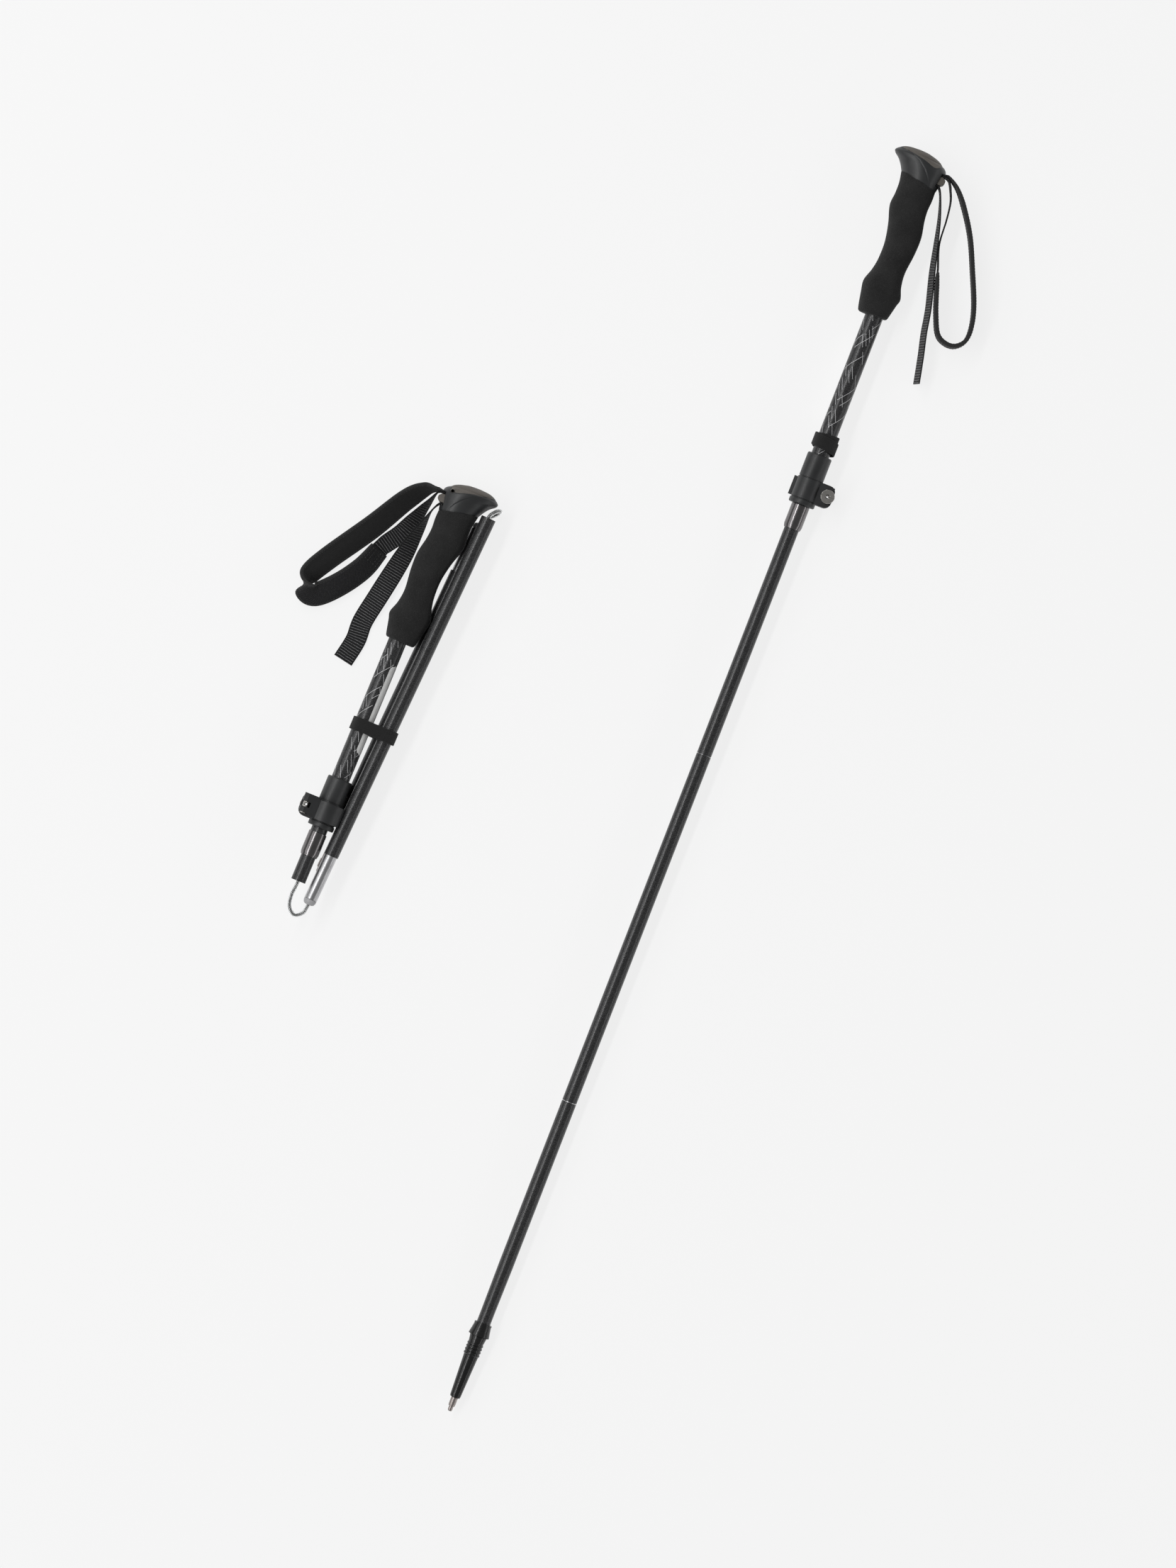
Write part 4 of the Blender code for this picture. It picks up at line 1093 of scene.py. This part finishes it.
class POLES_OT_tie_straps(PoleOperator):
    """Hook-and-loop straps: wound on the straight pole, round the folded bundle"""
    bl_idname = "poles.tie_straps"
    bl_label = "Tie straps"

    def build(self, pre):
        (self.wound if pre == "ext_" else self.bundle)(pre)

    def wound(self, pre):
        """Strap wound twice round the tube, the second turn climbing a little."""
        at = FRAMES[pre]
        stations, count, run = [], 150, 0.0
        for i in range(count + 1):
            share = i / count
            turn = share * 4.3 * pi + 0.5
            radius = 10.2 + 2.6 * share
            lift = 59.6 + 8.5 * max(0.0, sin(share * pi * 1.05)) * (1 - share * 0.3)
            point = Vector((radius * cos(turn), radius * sin(turn), lift))
            normal = Vector((cos(turn), sin(turn), 0))
            run += radius * 4.3 * pi / count
            stations.append((point, Vector((0, 0, 1)), normal, run))
        mesh = strap_skin(stations, lambda i: 6.4, lambda i: WEB_HALF_THICK,
                          rounded_band(8, 4, 0.12), at)
        shown(pre + "bundle_strap", "_fine", mesh, ["felt"], "webbing",
              body_name(pre, "bundle_strap"), 60)

    def bundle(self, pre):
        """Strap round the folded bundle, as a rounded copy of its CAD node with a mesh of its own."""
        obj = refined(pre + "bundle_strap", "felt", "webbing", 0.5,
                      body_name(pre, "bundle_strap"))
        anchor = FRAMES[pre] @ Vector((0, 0, BAND_HEIGHT * MM))
        out = section_centre(pre, BAND_HEIGHT) - anchor
        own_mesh(obj)


def section_centre(pre, height):
    """Point on the middle section's axis level with a height on the handle."""
    at, middle = FRAMES[pre], MIDDLE[pre]
    origin = at.inverted() @ middle.translation
    along = (at.inverted().to_3x3() @ middle.to_3x3().col[2])
    return at @ (origin + along * ((height * MM - origin.z) / along.z))


class POLES_OT_labels(PoleOperator):
    """Plain white label with round ends on each upper tube"""
    bl_idname = "poles.labels"
    bl_label = "Labels"

    def build(self, pre):
        rings = []
        for i in range(49):
            z = LABEL_LOW + (LABEL_HIGH - LABEL_LOW) * i / 48
            inset = max(0.0, LABEL_HALF - (z - LABEL_LOW), LABEL_HALF - (LABEL_HIGH - z))
            wide = max(0.15, max(0.0, LABEL_HALF ** 2 - inset ** 2) ** 0.5)
            arc = [LABEL_TURN + wide / 9.1 * (k / 8 - 1) for k in range(17)]
            rings.append([(r * cos(a), r * sin(a), z)
                          for r, turns in ((LABEL_OUTSIDE, arc), (LABEL_INSIDE, arc[::-1]))
                          for a in turns])
        obj = link(pre + "label", skin(rings, FRAMES[pre]), ["label"], None,
                   "nose_plastic")
        smooth(obj.data, 40)
        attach(obj, body_name(pre, "upper_tube"))


class POLES_OT_wires(PoleOperator):
    """Tension wire: twisted strands in a clear sleeve, seen where the pole is folded"""
    bl_idname = "poles.wires"
    bl_label = "Tension wires"

    def build(self, pre):
        if pre == "ext_":
            repaint("ext_tension_wire", "rope")
            return
        at = FRAMES[pre]
        back = at.inverted()

        def on(section, z):
            return (back @ section[pre] @ Vector((0, 0, z * MM))) / MM

        nose_a, nose_b = on(MIDDLE, 52), on(LOWER, 52)
        mouth_a = on(MIDDLE, -360)
        low = [Vector((0, 0, -51.5)), Vector((0, 0, -59.5)), Vector((0.8, 0, -70)),
               Vector((-1.5, -0.8, -81)), Vector((-8.5, -2.0, -87)),
               nose_a + Vector((2.2, 0.2, -10.0)), on(MIDDLE, 55), on(MIDDLE, 38)]
        high = [on(MIDDLE, -357), on(MIDDLE, -363), mouth_a + Vector((-4.0, -1.8, 8.5)),
                Vector((-43.5, 1.0, 349.5)), Vector((-42.0, -6.5, 346.0)),
                nose_b + Vector((-4.0, 0.6, 7.0)), on(LOWER, 55), on(LOWER, 38)]
        for name, route, pair in (("low", low, ("fold_inner", "fold_middle")),
                                  ("high", high, ("fold_middle", "fold_lower"))):
            line = spline(route, 14)
            ends = [tuple(at @ (line[k] * MM)) for k in (20, -22)]
            for kind, radius in (("rope", ROPE_RADIUS), ("sleeve", SLEEVE_RADIUS)):
                mesh = self.round_skin(line, radius, at, hollow=kind == "sleeve")
                obj = link(f"wire_{name}_{kind}", mesh, [kind], None, "wire")
                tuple(ends[0])
                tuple(ends[1])
                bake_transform(obj)
        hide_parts("fold_tension_wire")

    def round_skin(self, line, radius, at, hollow):
        """Tube along line; a hollow one gets an inner wall."""
        rings, inner, runs = [], [], [0.0]
        side = None
        for i, point in enumerate(line):
            ahead = (line[min(i + 1, len(line) - 1)] - line[max(i - 1, 0)]).normalized()
            side = side or ahead.orthogonal().normalized()
            side = (side - ahead * side.dot(ahead)).normalized()
            other = ahead.cross(side)
            turn = [(cos(2 * pi * j / 20), sin(2 * pi * j / 20)) for j in range(20)]
            rings.append([point + (side * a + other * b) * radius for a, b in turn])
            inner.append([point + (side * a + other * b) * radius * SLEEVE_BORE
                          for a, b in turn])
            if i:
                runs.append(runs[-1] + (point - line[i - 1]).length)
        if hollow:
            rings = rings + inner[::-1]
            runs = runs + runs[::-1]
        mesh = skin(rings, at, closed=hollow,
                    uvs=lambda i, j: (j / 20 * 2 * pi * radius * MM,
                                      runs[i % len(runs)] * MM))
        smooth(mesh, 60)
        return mesh


class POLES_OT_stage(PoleOperator):
    """Pale floor, soft studio light and the camera that looks down on the poles"""
    bl_idname = "poles.stage"
    bl_label = "Stage"

    def execute(self, context):
        self.floor()
        self.lights()
        self.camera()
        return {"FINISHED"}

    def floor(self):
        mesh = bpy.data.meshes.new("floor")
        half, drop = 4.0, -0.0005
        mesh.from_pydata([(-half, -half, drop), (half, -half, drop), (half, half, drop),
                          (-half, half, drop)], [], [(0, 1, 2, 3)])
        s = Shader("floor_pale", self.sizes.floor_colour, 0.9, 0.0,
                   **{"Emission Color": (1, 1, 1, 1), "Specular IOR Level": 0.0,
                      "Emission Strength": self.sizes.floor_glow})
        cloud = s.noise(s.coords(), 3.0, 2.0)
        s.rough(s.ramp(cloud, 0.3, 0.7, 0.88, 0.95))
        mesh.materials.append(s.mat)
        obj = bpy.data.objects.new("floor", mesh)
        bpy.context.scene.collection.objects.link(obj)

    def lights(self):
        world = bpy.data.worlds.new("studio")
        bpy.context.scene.world = world
        world.use_nodes = True
        back = world.node_tree.nodes["Background"]
        back.inputs["Color"].default_value = (1, 1, 1, 1)
        back.inputs["Strength"].default_value = 0.20
        bpy.context.scene.view_settings.view_transform = "Standard"
        for name, place, size, power in (
                ("key", (-1.5, 0.0, 2.6), (0.32, 6.0), 62.0),
                ("broad", (-2.4, 0.3, 1.7), (1.0, 6.0), 22.0),
                ("rim", (2.6, 0.0, 1.0), (0.5, 6.0), 18.0)):
            data = bpy.data.lights.new(name, "AREA")
            data.shape = "RECTANGLE"
            data.size, data.size_y = size
            data.energy = power
            obj = bpy.data.objects.new(name, data)
            bpy.context.scene.collection.objects.link(obj)
            obj.location = place
            away = Vector(place).normalized()
            side = Vector((0, 1, 0)).cross(away).normalized()
            obj.rotation_euler = Matrix((side, away.cross(side), away)).transposed().to_euler()

    def camera(self):
        """Straight down, turned so the straight pole leans as it does in view."""
        right = Vector((0.9323, 0.3616, 0))
        up = Vector((-0.3616, 0.9323, 0))
        lock = FRAMES["ext_"].translation
        centre = Vector((lock.x - 0.0945, lock.y - 0.3265, 0.01))
        data = bpy.data.cameras.new("camera")
        distance, width = 6.0, 1.1397
        data.sensor_fit = "HORIZONTAL"
        data.lens = data.sensor_width * distance / width
        data.clip_end = 20
        obj = bpy.data.objects.new("camera", data)
        bpy.context.scene.collection.objects.link(obj)
        rows = Matrix((right, up, Vector((0, 0, 1)))).transposed().to_4x4()
        rows.translation = centre + Vector((0, 0, distance))
        obj.matrix_world = rows
        bpy.context.scene.camera = obj


class POLES_PT_panel(bpy.types.Panel):
    """Lists the steps that finish the poles"""
    bl_idname = "POLES_PT_panel"
    bl_label = "Trekking poles"
    bl_space_type = "VIEW_3D"
    bl_region_type = "UI"
    bl_category = "Poles"

    def draw(self, context):
        for prop in ("round_sides", "corner", "stitch_pitch", "floor_colour", "floor_glow"):
            self.layout.prop(context.scene.pole_finish, prop)
        for step in STEPS:
            self.layout.operator(step.bl_idname)


STEPS = (POLES_OT_stage, POLES_OT_tubes, POLES_OT_locks, POLES_OT_grips,
         POLES_OT_wrist_straps, POLES_OT_tie_straps, POLES_OT_labels, POLES_OT_wires)
CLASSES = (PoleFinish, *STEPS, POLES_PT_panel)


def register():
    for cls in CLASSES:
        bpy.utils.register_class(cls)
    bpy.types.Scene.pole_finish = bpy.props.PointerProperty(type=PoleFinish)


def unregister():
    del bpy.types.Scene.pole_finish
    for cls in reversed(CLASSES):
        bpy.utils.unregister_class(cls)


def repaint(node, material):
    """Finish a CAD node that is shown as the frame has it."""
    mesh = frame["nodes"][node].data
    mesh.materials.clear()
    mesh.materials.append(MATERIALS[material])


def hidden_pieces():
    """Button and spring stay as the frame has them, in plated steel."""
    for pre in POLES:
        for part in ("snap_button", "button_spring"):
            repaint(pre + part, "steel")


def main():
    register()
    make_materials()
    hidden_pieces()
    for step in STEPS:
        area, name = step.bl_idname.split(".")
        if getattr(getattr(bpy.ops, area), name)() != {"FINISHED"}:
            raise RuntimeError(f"{step.bl_idname} did not finish")


if __name__ == "__main__":
    main()
